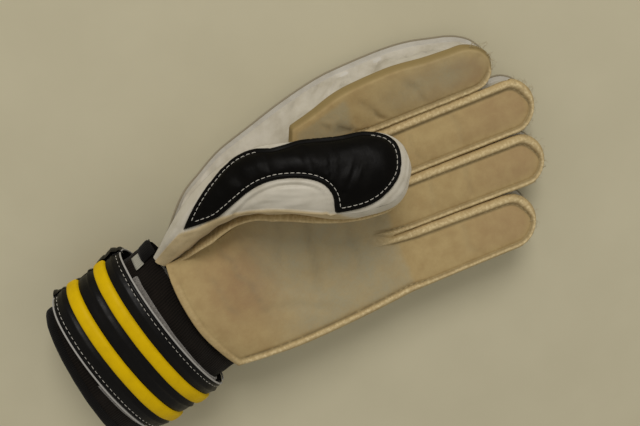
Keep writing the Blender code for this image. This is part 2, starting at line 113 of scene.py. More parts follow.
def fine(path, step):
    """A smooth curve through the points, resampled at about the step."""
    path = np.asarray(path, float)
    count = len(path)
    dense = []
    for i in range(count - 1):
        a, b, c, d = (path[min(max(i + k, 0), count - 1)] for k in (-1, 0, 1, 2))
        for t in np.linspace(0.0, 1.0, 12, endpoint=False):
            square, cube = 2 * a - 5 * b + 4 * c - d, 3 * b - a - 3 * c + d
            dense.append(0.5 * (2 * b + (c - a) * t + square * t**2 + cube * t**3))
    dense.append(path[-1])
    return even(dense, step)


def lengths(path):
    """The length along a path up to each of its points."""
    return np.concatenate([[0.0], np.cumsum(np.linalg.norm(np.diff(path, axis=0), axis=1))])


def points_at(path, along, spots):
    """Points of a path at the given lengths along it."""
    return np.stack([np.interp(spots, along, path[:, k]) for k in range(path.shape[1])], axis=1)


def even(path, step=None, count=None):
    """The path resampled at even distances."""
    path = np.asarray(path, float)
    along = lengths(path)
    count = count or max(2, round(along[-1] / step) + 1)
    return points_at(path, along, np.linspace(0.0, along[-1], count))


def paint(mesh, name, values):
    """One value, or one for each point, that a material reads by its name."""
    layer = mesh.attributes.new(name, "FLOAT", "POINT")
    layer.data.foreach_set("value", np.full(len(mesh.vertices), values, np.float32))


def make(name, points, faces, material, uv=None, normals=None, attributes=None):
    """A smooth-shaded object from points in millimetres."""
    mesh = bpy.data.meshes.new(name)
    mesh.from_pydata((np.asarray(points, float) / 1000.0).tolist(), [], [tuple(map(int, f)) for f in faces])
    mesh.update()
    if uv is not None:
        layer = mesh.uv_layers.new(name="UVMap")
        corner = np.empty(len(mesh.loops), np.int32)
        mesh.loops.foreach_get("vertex_index", corner)
        layer.data.foreach_set("uv", np.asarray(uv, float)[corner].ravel())
    for key, values in (attributes or {}).items():
        paint(mesh, key, values)
    mesh.shade_smooth()
    if normals is not None:
        mesh.normals_split_custom_set_from_vertices(np.asarray(normals, float).tolist())
    piece = bpy.data.objects.new(name, mesh)
    bpy.context.scene.collection.objects.link(piece)
    mesh.materials.append(material)
    return piece


def grid_faces(rows, columns, closed=False, flip=False):
    """Four-sided faces over a grid of points, row by row."""
    faces = []
    for r in range(rows - 1):
        for c in range(columns if closed else columns - 1):
            here, below, turn = r * columns, (r + 1) * columns, (c + 1) % columns
            face = (here + c, here + turn, below + turn, below + c)
            faces.append(face[::-1] if flip else face)
    return faces


def grid_uv(grid):
    """Lengths along the middle row and the middle column of a grid of points."""
    across, down = lengths(grid[len(grid) // 2]), lengths(grid[:, grid.shape[1] // 2])
    return np.stack(np.broadcast_arrays(across[None, :], down[:, None]), axis=-1).reshape(-1, 2)


def surface(name, grid, material, closed=False, flip=False):
    """A surface from a grid of points: rows along its first axis."""
    grid = np.asarray(grid, float)
    faces = grid_faces(*grid.shape[:2], closed, flip)
    return make(name, grid.reshape(-1, 3), faces, material, uv=grid_uv(grid))


def join(name, parts, material):
    """One object from lists of (points, faces, uv)."""
    points, faces, uvs, start = [], [], [], 0
    for p, f, u in parts:
        points.append(p)
        faces += [tuple(start + i for i in face) for face in f]
        uvs.append(u)
        start += len(p)
    return make(name, np.concatenate(points), faces, material, uv=np.concatenate(uvs))


def tube(path, radius, sides=8, taper=None):
    """Points, faces and uv of a round tube along a path."""
    path = np.asarray(path, float)
    count = len(path)
    ahead = np.gradient(path, axis=0)
    ahead /= np.linalg.norm(ahead, axis=1)[:, None] + 1e-9
    up = np.array([0.0, 0.0, 1.0]) if abs(ahead[0, 2]) < 0.9 else np.array([1.0, 0.0, 0.0])
    points, uv = [], []
    length = 0.0
    for i in range(count):
        up = up - ahead[i] * up.dot(ahead[i])
        up /= np.linalg.norm(up) + 1e-9
        side = np.cross(ahead[i], up)
        r = radius if taper is None else radius * taper[i]
        if i:
            length += np.linalg.norm(path[i] - path[i - 1])
        for k in range(sides):
            a = 2 * math.pi * k / sides
            points.append(path[i] + r * (up * math.cos(a) + side * math.sin(a)))
            uv.append((2 * math.pi * radius * k / sides, length))
    faces = grid_faces(count, sides, closed=True)
    faces.append(tuple(range(sides)))
    faces.append(tuple((count - 1) * sides + k for k in range(sides))[::-1])
    return np.array(points), faces, np.array(uv)


def stitches(path, out, length=2.6, gap=1.3, radius=0.3, lift=0.15):
    """Short thread stitches along a path; out is the surface's outward direction along it."""
    path, out = np.asarray(path, float), np.asarray(out, float)
    along = lengths(path)
    parts, at = [], gap * 0.5
    while at + length < along[-1]:
        spots = at + length * np.array([0.0, 0.18, 0.5, 0.82, 1.0])
        middle, normal = points_at(path, along, spots), points_at(out, along, spots)
        middle += normal * (lift + radius * np.array([-1.1, 0.1, 0.4, 0.1, -1.1]))[:, None]
        middle += RANDOM.normal(0, 0.04, 3)
        parts.append(tube(middle, radius, sides=6, taper=[0.55, 0.95, 1.0, 0.95, 0.55]))
        at += length + gap
    return parts


# ---------------------------------------------------------------- materials
class Shade:
    """A material and short ways to add its nodes. Coordinates are in millimetres on the cloth."""

    def __init__(self, name, colour, roughness, **sockets):
        self.material = bpy.data.materials.new(name)
        self.material.use_nodes = True
        self.tree = self.material.node_tree
        self.shader = self.tree.nodes["Principled BSDF"]
        self.shader.inputs["Base Color"].default_value = (*colour, 1.0)
        self.shader.inputs["Roughness"].default_value = roughness
        for key, value in sockets.items():
            self.shader.inputs[key.replace("_", " ")].default_value = value
        self.uv = self.tree.nodes.new("ShaderNodeUVMap").outputs[0]
        self.place = self.add("ShaderNodeVectorMath", operation="SCALE")
        self.tree.links.new(self.add("ShaderNodeTexCoord").outputs["Object"], self.place.inputs[0])
        self.place.inputs["Scale"].default_value = 1000.0
        self.place = self.place.outputs[0]

    def add(self, kind, **properties):
        node = self.tree.nodes.new(kind)
        for key, value in properties.items():
            setattr(node, key, value)
        return node

    def put(self, socket, value):
        if isinstance(value, bpy.types.NodeSocket):
            self.tree.links.new(value, socket)
        else:
            socket.default_value = value

    def noise(self, scale, detail=3.0, rough=0.55, where=None, stretch=None):
        node = self.add("ShaderNodeTexNoise")
        node.inputs["Scale"].default_value = 1.0
        node.inputs["Detail"].default_value = detail
        node.inputs["Roughness"].default_value = rough
        self.put(node.inputs["Vector"], self.scaled(where or self.place, stretch or (1 / scale,) * 3))
        return node.outputs["Fac"]

    def scaled(self, where, factors):
        node = self.add("ShaderNodeVectorMath", operation="MULTIPLY")
        self.put(node.inputs[0], where)
        node.inputs[1].default_value = factors
        return node.outputs[0]

    def cells(self, scale, where=None, feature="F1"):
        node = self.add("ShaderNodeTexVoronoi", feature=feature)
        self.put(node.inputs["Vector"], self.scaled(where or self.place, (1 / scale,) * 3))
        node.inputs["Scale"].default_value = 1.0
        return node.outputs["Distance"]

    def lines(self, period, along=(1.0, 0.0, 0.0), wobble=0.0):
        node = self.add("ShaderNodeTexWave", wave_type="BANDS", bands_direction="X", wave_profile="SIN")
        turned = self.add("ShaderNodeVectorRotate", rotation_type="Z_AXIS")
        self.put(turned.inputs["Vector"], self.scaled(self.uv, (0.3142 / period,) * 3))
        turned.inputs["Angle"].default_value = -math.atan2(along[1], along[0])
        self.put(node.inputs["Vector"], turned.outputs[0])
        node.inputs["Scale"].default_value = 1.0
        node.inputs["Distortion"].default_value = wobble
        return node.outputs["Fac"]

    def math(self, operation, a, b):
        node = self.add("ShaderNodeMath", operation=operation)
        for socket, value in zip(node.inputs, (a, b)):
            self.put(socket, value)
        return node.outputs[0]

    def ramp(self, value, low, high, to_low=0.0, to_high=1.0):
        node = self.add("ShaderNodeMapRange", interpolation_type="SMOOTHSTEP")
        for socket, v in zip(node.inputs, (value, low, high, to_low, to_high)):
            self.put(socket, v)
        return node.outputs[0]

    def mix(self, factor, a, b):
        node = self.add("ShaderNodeMix", data_type="RGBA")
        self.put(node.inputs["Factor"], factor)
        self.put(node.inputs[6], (*a, 1.0) if isinstance(a, tuple) else a)
        self.put(node.inputs[7], (*b, 1.0) if isinstance(b, tuple) else b)
        return node.outputs[2]

    def attribute(self, name):
        return self.add("ShaderNodeAttribute", attribute_name=name).outputs["Fac"]

    def finish(self, colour=None, roughness=None, bumps=()):
        if colour is not None:
            self.put(self.shader.inputs["Base Color"], colour)
        if roughness is not None:
            self.put(self.shader.inputs["Roughness"], roughness)
        normal = None
        for height, strength, distance in bumps:
            node = self.add("ShaderNodeBump")
            node.inputs["Strength"].default_value = strength
            node.inputs["Distance"].default_value = distance / 1000.0
            self.put(node.inputs["Height"], height)
            if normal is not None:
                self.put(node.inputs["Normal"], normal)
            normal = node.outputs[0]
        if normal is not None:
            self.put(self.shader.inputs["Normal"], normal)
        return self.material


def linear(r, g, b):
    """A screen colour, 0 to 255, as scene-linear values."""
    return tuple(((c / 255 + 0.055) / 1.055) ** 2.4 if c > 10 else c / 255 / 12.92 for c in (r, g, b))


def latex_material(name, light, dark, grime_and_crease_shade, brown_and_tip_shade, painted_highlight, rim):
    """Worn latex foam: mottled, dirty on the palm, paler on its seams as a painted highlight, with painted
    shade in its creases, its seam grooves, along the index's rolled-down edge and towards the finger ends,
    browner over the heel, and with pores and fine creases.
    """
    s = Shade(name, light, 0.82)
    mottle = s.noise(9.0, 4.0, 0.6, s.uv)
    fine_mottle = s.noise(1.6, 3.0, 0.6, s.uv)
    colour = s.mix(s.ramp(mottle, 0.3, 0.75), light, dark)
    # browner over the heel, and painted shade darkening the finger ends
    colour = s.mix(
        s.math("MULTIPLY", s.attribute("brown_and_tip_shade"), s.ramp(mottle, 0.2, 0.7, 0.6, 1.0)), colour, brown_and_tip_shade
    )
    patchy = s.ramp(s.noise(7.0, 5.0, 0.65, s.uv), 0.2, 0.7, 0.6, 1.1)
    colour = s.mix(s.math("MULTIPLY", s.attribute("smudge"), patchy), colour, grime_and_crease_shade)
    colour = s.mix(s.ramp(fine_mottle, 0.35, 0.8, 0.0, 0.3), colour, dark)
    # painted highlight on the seam ridges' crest and over the thumb's ledge, in a ragged pale colour
    colour = s.mix(
        s.math("MULTIPLY", s.attribute("painted_highlight"), s.ramp(fine_mottle, 0.3, 0.6, 0.9, 0.3)), colour, painted_highlight
    )
    # painted shade in the palm's creases, in a darker copy of the grime colour
    colour = s.mix(s.math("MULTIPLY", s.attribute("fold"), 0.22), colour, tuple(c * 0.7 for c in grime_and_crease_shade))
    # painted shade along the index's rolled-down edge
    colour = s.mix(s.attribute("rim"), colour, rim)
    # painted shade in the stitched seam grooves
    colour = s.mix(s.math("MULTIPLY", s.attribute("groove_shade"), 0.75), colour, tuple(c * 0.4 for c in rim))
    pores = s.cells(0.55, s.uv)
    speck = s.noise(0.35, 2.0, 0.6, s.uv)
    rough = s.ramp(s.attribute("smudge"), 0.0, 1.0, 0.86, 0.6)
    streaks = s.noise(1.0, 4.0, 0.6, s.uv, stretch=(0.30, 0.06, 1.0))
    hair = s.noise(1.0, 3.0, 0.7, s.uv, stretch=(0.9, 0.22, 1.0))
    return s.finish(
        colour, rough,
        ((streaks, 0.3, 0.5), (hair, 0.3, 0.2), (mottle, 0.3, 0.5), (pores, 0.3, 0.12), (speck, 0.4, 0.12)),
    )


def cloth_material(name, light, shade, weave=0.55, sheen=0.25):
    """Woven cloth with faint dirt and wrinkles, in the foam's colour where a piece has "foam" values."""
    roughness = 0.5
    s = Shade(name, light, roughness, Sheen_Weight=sheen, Sheen_Roughness=0.4)
    warp, weft = s.lines(weave, (1, 0, 0)), s.lines(weave, (0, 1, 0))
    threads = s.math("MAXIMUM", warp, weft)
    dirt = s.noise(14.0, 4.0, 0.6)
    colour = s.mix(s.ramp(dirt, 0.35, 0.8), light, shade)
    colour = s.mix(s.ramp(threads, 0.0, 1.0, 0.12, 0.0), colour, tuple(c * 0.6 for c in shade))
    colour = s.mix(
        s.attribute("foam"), colour,
        s.mix(s.ramp(dirt, 0.3, 0.7), linear(198, 178, 138), linear(178, 158, 118)),
    )
    rough = s.ramp(dirt, 0.3, 0.7, roughness - 0.05, roughness + 0.12)
    soft = s.noise(5.0, 3.0, 0.5)
    wrinkles = s.noise(1.0, 3.0, 0.5, stretch=(0.08, 0.3, 0.1))
    return s.finish(colour, rough, ((soft, 0.3, 0.6), (wrinkles, 0.25, 0.8), (threads, 0.25, 0.08)))


def leather_material(name, colour, edge, roughness, grain=0.8, wear=0.5, shine=0.3):
    """Coated leather with a fine grain, creases and dusty wear."""
    s = Shade(name, colour, roughness, Specular_IOR_Level=shine)
    cells = s.cells(grain, s.uv, "SMOOTH_F1")
    creases = s.noise(3.5, 5.0, 0.6, s.uv, stretch=(0.5, 0.22, 1.0))
    dust = s.noise(8.0, 4.0, 0.65)
    tone = s.mix(s.ramp(dust, 0.35, 0.85, 0.0, wear), colour, edge)
    rough = s.ramp(dust, 0.3, 0.8, roughness - 0.06, roughness + 0.14)
    return s.finish(tone, rough, ((creases, 0.2, 0.45), (cells, 0.2, 0.1), (s.noise(0.3, 2.0), 0.15, 0.05)))


def knit_material(name, colour, light, rib=1.5):
    """Ribbed elastic knit."""
    s = Shade(name, colour, 0.85, Sheen_Weight=0.06, Sheen_Roughness=0.5, Specular_IOR_Level=0.12)
    ribs = s.lines(rib, (1, 0, 0), wobble=0.4)
    loops = s.lines(0.8, (0, 1, 0), wobble=0.6)
    height = s.math("MULTIPLY", ribs, s.ramp(loops, 0.0, 1.0, 0.6, 1.0))
    fuzz = s.noise(0.4, 3.0, 0.7, s.uv)
    colour_out = s.mix(s.ramp(height, 0.1, 0.9, 0.0, 0.6), colour, light)
    colour_out = s.mix(s.ramp(s.noise(11.0, 3.0), 0.4, 0.8, 0.0, 0.5), colour_out, light)
    return s.finish(colour_out, None, ((height, 0.7, 0.35), (fuzz, 0.4, 0.2)))


def pile_material(name, colour, dark):
    """Looped pile."""
    s = Shade(name, colour, 0.95, Sheen_Weight=0.5, Sheen_Roughness=0.6)
    loops = s.cells(0.7, s.uv)
    fuzz = s.noise(0.35, 3.0, 0.7, s.uv)
    tone = s.mix(s.ramp(loops, 0.1, 0.6), colour, dark)
    tone = s.mix(s.ramp(s.noise(6.0, 3.0), 0.4, 0.7, 0.0, 0.4), tone, dark)
    return s.finish(tone, None, ((loops, 0.8, 0.4), (fuzz, 0.6, 0.2)))


def thread_material(name, colour):
    """Twisted thread."""
    s = Shade(name, colour, 0.6, Sheen_Weight=0.2)
    twist = s.lines(0.35, (1, 1, 0))
    tone = s.mix(s.ramp(twist, 0.0, 1.0, 0.0, 0.35), colour, tuple(c * 0.5 for c in colour))
    return s.finish(tone, None, ((twist, 0.5, 0.1),))


LATEX = latex_material(
    "latex",
    light=linear(184, 161, 113),
    dark=linear(170, 145, 99),
    # the grime colour, also darkened for the painted shade in the creases
    grime_and_crease_shade=linear(164, 154, 124),
    # the colour of the heel's browning and of the painted shade at the finger ends
    brown_and_tip_shade=linear(160, 130, 94),
    # the colour of the painted highlight on the seam ridges and the thumb's ledge
    painted_highlight=linear(232, 212, 166),
    # the colour of the painted shade along the index's rolled-down edge, darker again in the seam grooves
    rim=linear(142, 122, 76),
)
WHITE = cloth_material("white_cloth", linear(204, 198, 184), linear(180, 172, 154), sheen=0.2)
WHITE_BACK = cloth_material("white_back", linear(204, 200, 190), linear(182, 176, 164), weave=0.9)
BLACK = leather_material("black_leather", linear(6, 5, 4), linear(15, 13, 10), 0.42, shine=0.07)
STRAP_BLACK = leather_material(
    "strap_black", linear(6, 5, 5), linear(17, 15, 13), 0.4, grain=0.7, shine=0.16
)
YELLOW = leather_material(
    "yellow_leather", linear(222, 184, 0), linear(196, 160, 2), 0.5, grain=0.6, wear=0.6, shine=0.1
)
ELASTIC = knit_material("black_knit", linear(12, 8, 5), linear(32, 26, 21))
HEM = knit_material("black_hem", linear(11, 10, 9), linear(26, 24, 23), rib=1.0)
PILE = pile_material("grey_pile", linear(146, 142, 136), linear(104, 100, 96))
BINDING = thread_material("binding", linear(158, 147, 122))
LINING = pile_material("lining", linear(196, 192, 184), linear(160, 156, 148))
LABEL = knit_material("label_rib", linear(150, 148, 136), linear(176, 174, 162), rib=1.1)
PIPING = thread_material("piping", linear(176, 174, 170))
THREAD_WHITE = thread_material("thread_white", linear(216, 212, 202))
THREAD_TAN = thread_material("thread_tan", linear(182, 162, 116))
FIBRE = thread_material("fibre", linear(196, 182, 146))


# ---------------------------------------------------------------- the hand's surfaces
def middle_y(finger, x):
    """A finger's middle line."""
    low, high = finger["y"]
    return low + (high - low) * (np.asarray(x, float) - CROTCH_X) / (finger["tip"] - CROTCH_X)


def half_width(finger, x):
    """Half of a finger's width."""
    low, high = finger["half"]
    share = np.clip((np.asarray(x, float) - CROTCH_X) / (finger["tip"] - CROTCH_X), 0.0, 1.0)
    return low + (high - low) * share


def wrist_arch(y):
    """How high the wrist's round section stands there, against its middle."""
    return 1.0 - 0.62 * np.clip((y - WRIST[1]) / (CUFF_WIDE + 4.0), -1.2, 1.2) ** 2


def nearest_finger(y):
    """Which finger each point lies under, by the middle of each finger's middle line."""
    rows = np.array([0.5 * sum(FINGERS[n]["y"]) for n in NAMES])
    return np.abs(np.asarray(y, float)[..., None] - rows).argmin(axis=-1)


def of_nearest(key, y):
    """That size of the finger each point lies under."""
    return np.array([FINGERS[n][key] for n in NAMES])[nearest_finger(y)]


def palm_z(x, y):
    """Height of the palm's plain surface."""
    x, y = np.asarray(x, float), np.asarray(y, float)
    falling = 27.0 + 22.0 * np.exp(-(x + 60.0) / 60.0)
    cup = 0.36 * np.clip(y - 34.0, 0.0, None) * smooth(x, 5.0, 50.0) + 0.12 * np.clip(-y - 25.0, 0.0, None)
    arched = WRIST[2] + 21.9 * wrist_arch(y)
    share = smooth(x, -58.0, -5.0)
    tips = of_nearest("tip", y)
    drop = 3.2 * smooth(x, tips - 17.0, tips)
    return arched * (1.0 - share) + (falling + cup) * share - drop


def back_z(x, y):
    """Height of the backhand's plain surface."""
    x, y = np.asarray(x, float), np.asarray(y, float)
    arched = WRIST[2] - 23.0 * wrist_arch(y)
    share = smooth(x, -58.0, -22.0)
    return arched * (1.0 - share) + (BACK_Z + 4.0 * smooth(x, 85.0, 160.0)) * share


def normals_of(height, x, y):
    """Upward directions of a height surface."""
    step = 0.5
    dx = (height(x + step, y) - height(x - step, y)) / (2 * step)
    dy = (height(x, y + step) - height(x, y - step)) / (2 * step)
    n = np.column_stack([-dx, -dy, np.ones(len(dx))])
    return n / np.linalg.norm(n, axis=1)[:, None]


def finger_edge(finger, side, start, grow=0.0):
    """One side of a finger's outline, from a place along it to the end of its round tip."""
    steps = 10
    end_half = float(half_width(finger, finger["tip"])) + grow
    round_from = finger["tip"] + grow - 0.95 * end_half
    edge = [
        (float(x), float(middle_y(finger, x)) + side * (float(half_width(finger, x)) + grow))
        for x in np.linspace(start, round_from, 5)
    ]
    for k in range(1, steps + 1):
        turn = math.pi / 2 * k / steps
        x = round_from + 0.95 * end_half * math.sin(turn)
        edge.append((x, float(middle_y(finger, x)) + side * end_half * math.cos(turn)))
    return edge


def finger_loop(name, grow=0.0, start=CROTCH_X, outer=None):
    """From the thumb-side crotch round the tip to the other crotch."""
    finger = FINGERS[name]
    ahead = outer or finger_edge(finger, 1, start, grow)
    return ahead + finger_edge(finger, -1, start, grow)[-2::-1]


PALM_THUMB_EDGE = [(-59.5, 14.7), (-36.0, 17.0), (-8.0, 26.0), (10.0, 36.5), (23.5, 46.5)]
INDEX_CORNER = [(26.8, 54.8), (38.9, 57.6), (56.0, 62.3)]
BACK_THUMB_EDGE = [
    (-58.0, 22.0), (-42.0, 39.4), (-28.0, 46.4), (-14.0, 53.2), (5.0, 58.8), (28.0, 65.3), (50.0, 69.8),
    (66.0, 71.0), (88.0, 71.3), (104.0, 70.0), (118.0, 66.8),
]
LITTLE_EDGE = [(25.0, -57.8), (-10.0, -57.8), (-47.2, -54.2)]
WRIST_EDGE = [(-47.2, -54.2), (-51.5, -43.8), (-56.8, -27.0), (-59.4, -10.0), (-60.2, 4.0), (-59.5, 14.7)]


def hand_loop(thumb_edge, index_outer, grow=0.0, wrist=WRIST_EDGE):
    """The whole outline: up the thumb's side, round the fingers, down the little side and over the wrist."""
    loop = list(map(tuple, thumb_edge))
    for number, name in enumerate(NAMES):
        outer = index_outer if not number else None
        loop += finger_loop(name, grow if not number or name == NAMES[-1] else min(grow, 0.2), outer=outer)
    loop += list(map(tuple, fine([loop[-1], *LITTLE_EDGE], 4.0)))[1:]
    return loop + list(map(tuple, fine(wrist, 3.0)))[1:-1]


# ---------------------------------------------------------------- sewn panels
RINGS = (0.5, 1.1, 1.8, 2.5, 3.1, 3.6, 4.0, 4.4, 4.9, 5.6, 6.6, 8.0, 10.0)


def inward_of(loop):
    """Unit directions into a closed outline at each of its points."""
    following = np.roll(loop, -1, axis=0)
    ahead = following - np.roll(loop, 1, axis=0)
    inward = np.column_stack([-ahead[:, 1], ahead[:, 0]]) / np.linalg.norm(ahead, axis=1)[:, None]
    area = 0.5 * np.sum(loop[:, 0] * following[:, 1] - following[:, 0] * loop[:, 1])
    return -inward if area < 0 else inward


class Panel:
    """A flat-cut panel: a mesh over its outline, finer near the edge, and each point's distance to it."""

    def __init__(self, loop, step=1.25, inner=2.6, rings=RINGS):
        loop = even(list(loop) + [loop[0]], step)[:-1]
        self.loop = loop
        count = len(loop)
        inward = inward_of(loop)
        chosen = [loop]
        for ring in rings:
            spots = loop + inward * ring
            spots = spots[self.measure(spots)[0] > ring - 0.04]
            chosen.append(spots)
        low, high = loop.min(axis=0), loop.max(axis=0)
        rows = np.arange(low[1], high[1], inner * 0.87)
        cells = [
            (x + (inner / 2 if r % 2 else 0.0), y)
            for r, y in enumerate(rows)
            for x in np.arange(low[0], high[0], inner)
        ]
        cells = np.array(cells)
        cells = cells[self.inside(cells)]
        cells = cells[self.measure(cells)[0] > rings[-1] + 0.6 * inner]
        chosen.append(cells)
        spots = np.concatenate(chosen)
        key = np.round(spots / 0.45).astype(int)
        _, first = np.unique(key, axis=0, return_index=True)
        keep = np.union1d(first, np.arange(count))
        spots = spots[keep]
        edges = [(i, (i + 1) % count) for i in range(count)]
        out, _, faces, _, _, _ = delaunay_2d_cdt([Vector(p) for p in spots], edges, [], 1, 1e-5)
        self.xy = np.array([p[:] for p in out])
        self.faces = np.array([f for f in faces if len(f) == 3])
        a, b, c = (self.xy[self.faces[:, k]] for k in range(3))
        turn = (b[:, 0] - a[:, 0]) * (c[:, 1] - a[:, 1]) - (b[:, 1] - a[:, 1]) * (c[:, 0] - a[:, 0])
        self.faces[turn < 0] = self.faces[turn < 0][:, ::-1]
        self.distance, self.along = self.measure(self.xy)
        self.distance[self.distance < 1e-3] = 0.0
        directed = np.concatenate([self.faces[:, [0, 1]], self.faces[:, [1, 2]], self.faces[:, [2, 0]]])
        _, index, uses = np.unique(np.sort(directed, axis=1), axis=0, return_index=True, return_counts=True)
        self.border = directed[index[uses == 1]]

    def measure(self, spots):
        """Distance to the outline, and length along it."""
        loop = self.loop
        following = np.roll(loop, -1, axis=0)
        ahead = following - loop
        length = np.linalg.norm(ahead, axis=1)
        start = np.concatenate([[0.0], np.cumsum(length)[:-1]])
        distance, along = np.empty(len(spots)), np.empty(len(spots))
        for i in range(0, len(spots), 1500):
            part = spots[i : i + 1500, None, :] - loop[None]
            t = np.clip((part * ahead[None]).sum(-1) / (length**2)[None], 0.0, 1.0)
            gap = np.linalg.norm(part - t[..., None] * ahead[None], axis=-1)
            best = gap.argmin(axis=1)
            rows = np.arange(len(best))
            distance[i : i + 1500] = gap[rows, best]
            along[i : i + 1500] = start[best] + t[rows, best] * length[best]
        return distance, along

    def inside(self, spots):
        """Which points lie inside the outline."""
        x, y = spots[:, 0], spots[:, 1]
        found = np.zeros(len(spots), bool)
        for (ax, ay), (bx, by) in zip(self.loop, np.roll(self.loop, -1, axis=0)):
            crosses = (ay > y) != (by > y)
            found ^= crosses & (x < (bx - ax) * (y - ay) / (by - ay + 1e-12) + ax)
        return found


def finger_of(x, y):
    """0 for the hand, or 1 to 4 for the finger whose bending part a point belongs to."""
    return np.where(x > of_nearest("bend", y) - BLEND - 1.5, nearest_finger(y) + 1, 0)


def panel_pieces(name, panel, top, bottom, material, extra=None, bulge=0.35):
    """Objects of a panel between two skins: one for the hand and one for each finger."""
    count = len(panel.xy)
    middle = 0.5 * (top + bottom)
    outward = np.zeros((count, 3))
    edge = panel.border
    direction = panel.xy[edge[:, 1]] - panel.xy[edge[:, 0]]
    push = np.column_stack([direction[:, 1], -direction[:, 0], np.zeros(len(edge))])
    for column in (0, 1):
        np.add.at(outward, edge[:, column], push)
    size = np.linalg.norm(outward, axis=1)[:, None]
    outward = np.divide(outward, size, out=np.zeros_like(outward), where=size > 1e-9)
    rim = np.unique(edge)
    place = {int(v): 2 * count + i for i, v in enumerate(rim)}
    points = np.concatenate([top, bottom, middle[rim] + outward[rim] * bulge])
    faces = [tuple(f) for f in panel.faces] + [tuple(count + f[::-1]) for f in panel.faces]
    for a, b in edge:
        a, b = int(a), int(b)
        faces.append((b, a, place[a], place[b]))
        faces.append((place[b], place[a], count + a, count + b))
    whole = bpy.data.meshes.new("whole")
    whole.from_pydata((points / 1000.0).tolist(), [], [tuple(map(int, f)) for f in faces])
    whole.update()
    normals = np.array([v.vector[:] for v in whole.vertex_normals])
    flat = np.concatenate([panel.xy, panel.xy, panel.xy[rim]])
    values = {key: np.concatenate([v, v, v[rim]]) for key, v in (extra or {}).items()}
    owner = finger_of(flat[:, 0], flat[:, 1])
    bpy.data.meshes.remove(whole)
    made = {}
    for number in range(len(LABELS)):
        mine = [f for f in faces if max(owner[i] for i in f) == number]
        if not mine:
            continue
        used = np.unique([i for f in mine for i in f])
        index = {int(v): i for i, v in enumerate(used)}
        label = LABELS[number]
        made[label] = make(
            f"{name}_{label}",
            points[used],
            [[index[i] for i in f] for f in mine],
            material,
            uv=flat[used],
            normals=normals[used],
            attributes={key: v[used] for key, v in values.items()},
        )
    return made


def mount(pieces):
    """Each piece rides on the hand, or, for a finger's piece, has its placement baked into its mesh."""
    for label, piece in pieces.items():
        if label == "hand":
            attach(piece, "hand")
        else:
            bend_with(piece)


def bend_with(piece):
    """The piece's placement is baked into its mesh; it is left on no body."""
    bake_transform(piece)


def profile(distance, knots):
    """Height at each distance from the edge, through knots of (distance, height)."""
    at, height = zip(*knots)
    return np.interp(distance, at, height)


# How far each stitched seam runs inside its piece's cut edge.
FRONT_SEAM, BACK_SEAM, PATCH_SEAM = 4.0, 3.1, 2.4

# Height over the plain surface at each distance from a cut edge: a raised seam flange with its stitched
# groove, and the rolled-down edge of the index side.
RAISED = [
    (0, -0.7), (0.5, 0.2), (1.1, 0.9), (1.8, 1.35), (2.5, 1.4), (3.1, 0.9), (3.6, -0.1), (4.0, -0.85),
    (4.4, -0.8), (4.9, -0.5), (5.6, -0.15), (6.6, 0.05), (8.0, 0.2), (10.0, 0.4), (14.0, 0.7),
]
ROLLED = [
    (0, -3.6), (0.3, -2.6), (0.7, -1.4), (1.1, -0.6), (1.6, -0.05), (2.3, 0.25), (4.0, 0.45), (6.0, 0.6),
    (10.0, 0.8), (14.0, 0.9),
]


def seam_width(x, y):
    """Width of the seam flange against its usual width: wider on a finger's thumb side than on the other."""
    middle = np.choose(nearest_finger(y), [middle_y(FINGERS[n], x) for n in NAMES])
    found = 0.68 + 0.62 * smooth(y - middle, -5.0, 5.0)
    on_finger = smooth(x, CROTCH_X - 4.0, CROTCH_X + 14.0)
    return 1.0 + (found - 1.0) * on_finger


# Folds of the palm: two ends, half width, and depth before CREASE_DEPTH.
CREASE_DEPTH = 1.5
CREASES = [
    ((62.0, 22.0), (50.0, -20.0), 1.5, 0.7),
    ((40.0, 18.0), (33.0, -34.0), 1.8, 0.6),
    ((20.0, 20.0), (8.0, -40.0), 2.4, 0.9),
    ((4.0, 20.0), (-6.0, -14.0), 1.6, 0.6),
    ((-30.0, 12.0), (-20.0, -34.0), 1.3, 0.9),
    ((-44.0, 6.0), (-34.0, -30.0), 1.2, 0.6),
    ((-20.0, 14.0), (-10.0, -22.0), 2.0, 0.5),
    ((-24.0, -30.0), (14.0, -44.0), 1.8, 0.5),
    ((44.0, 50.0), (60.0, 39.0), 1.1, 0.9),
    ((66.0, 55.0), (76.0, 39.0), 1.2, 0.7),
    ((92.0, 56.0), (98.0, 40.0), 1.4, 0.5),
    ((84.0, 28.0), (87.0, 10.0), 1.6, 0.35),
    ((112.0, 30.0), (109.0, 9.0), 1.8, 0.4),
    ((88.0, 0.0), (84.0, -18.0), 1.6, 0.35),
    ((108.0, 0.0), (106.0, -20.0), 1.8, 0.4),
    ((94.0, -30.0), (96.0, -50.0), 1.8, 0.4),
]


def beside(xy, a, b):
    """For each point, its share of the way from a to b, and how far it is to the left of that line."""
    a, b = np.array(a), np.array(b)
    ahead = b - a
    left = np.array([-ahead[1], ahead[0]])
    return ((xy - a) @ ahead) / (ahead @ ahead), ((xy - a) @ left) / np.linalg.norm(ahead)


def creases(xy):
    """Soft valleys in the foam where the hand folds it, each with a low ridge beside it."""
    depth = np.zeros(len(xy))
    for a, b, width, deep in CREASES:
        t, gap = beside(xy, a, b)
        near = (np.abs(gap) < 12.0) & (t > -0.3) & (t < 1.3)
        gap[near] += 2.2 * waves(xy[near], 13.0, seed=a[0])
        fade = smooth(t, -0.15, 0.25) * (1 - smooth(t, 0.75, 1.15))
        deep *= CREASE_DEPTH
        depth -= deep * fade * np.exp(-((gap / width) ** 2))
        depth += 0.5 * deep * fade * np.exp(-(((gap - 2.0 * width) / (1.3 * width)) ** 2))
    return depth


def rolled_share(x, y):
    """1 where the foam's edge is rolled down: on the index finger's outer side and at its web."""
    threshold = np.interp(x, (30.0, 62.0, 118.0, 134.0), (40.0, 50.0, 49.5, 42.0))
    return smooth(y, threshold - 2.0, threshold + 4.0) * smooth(x, 8.0, 20.0)


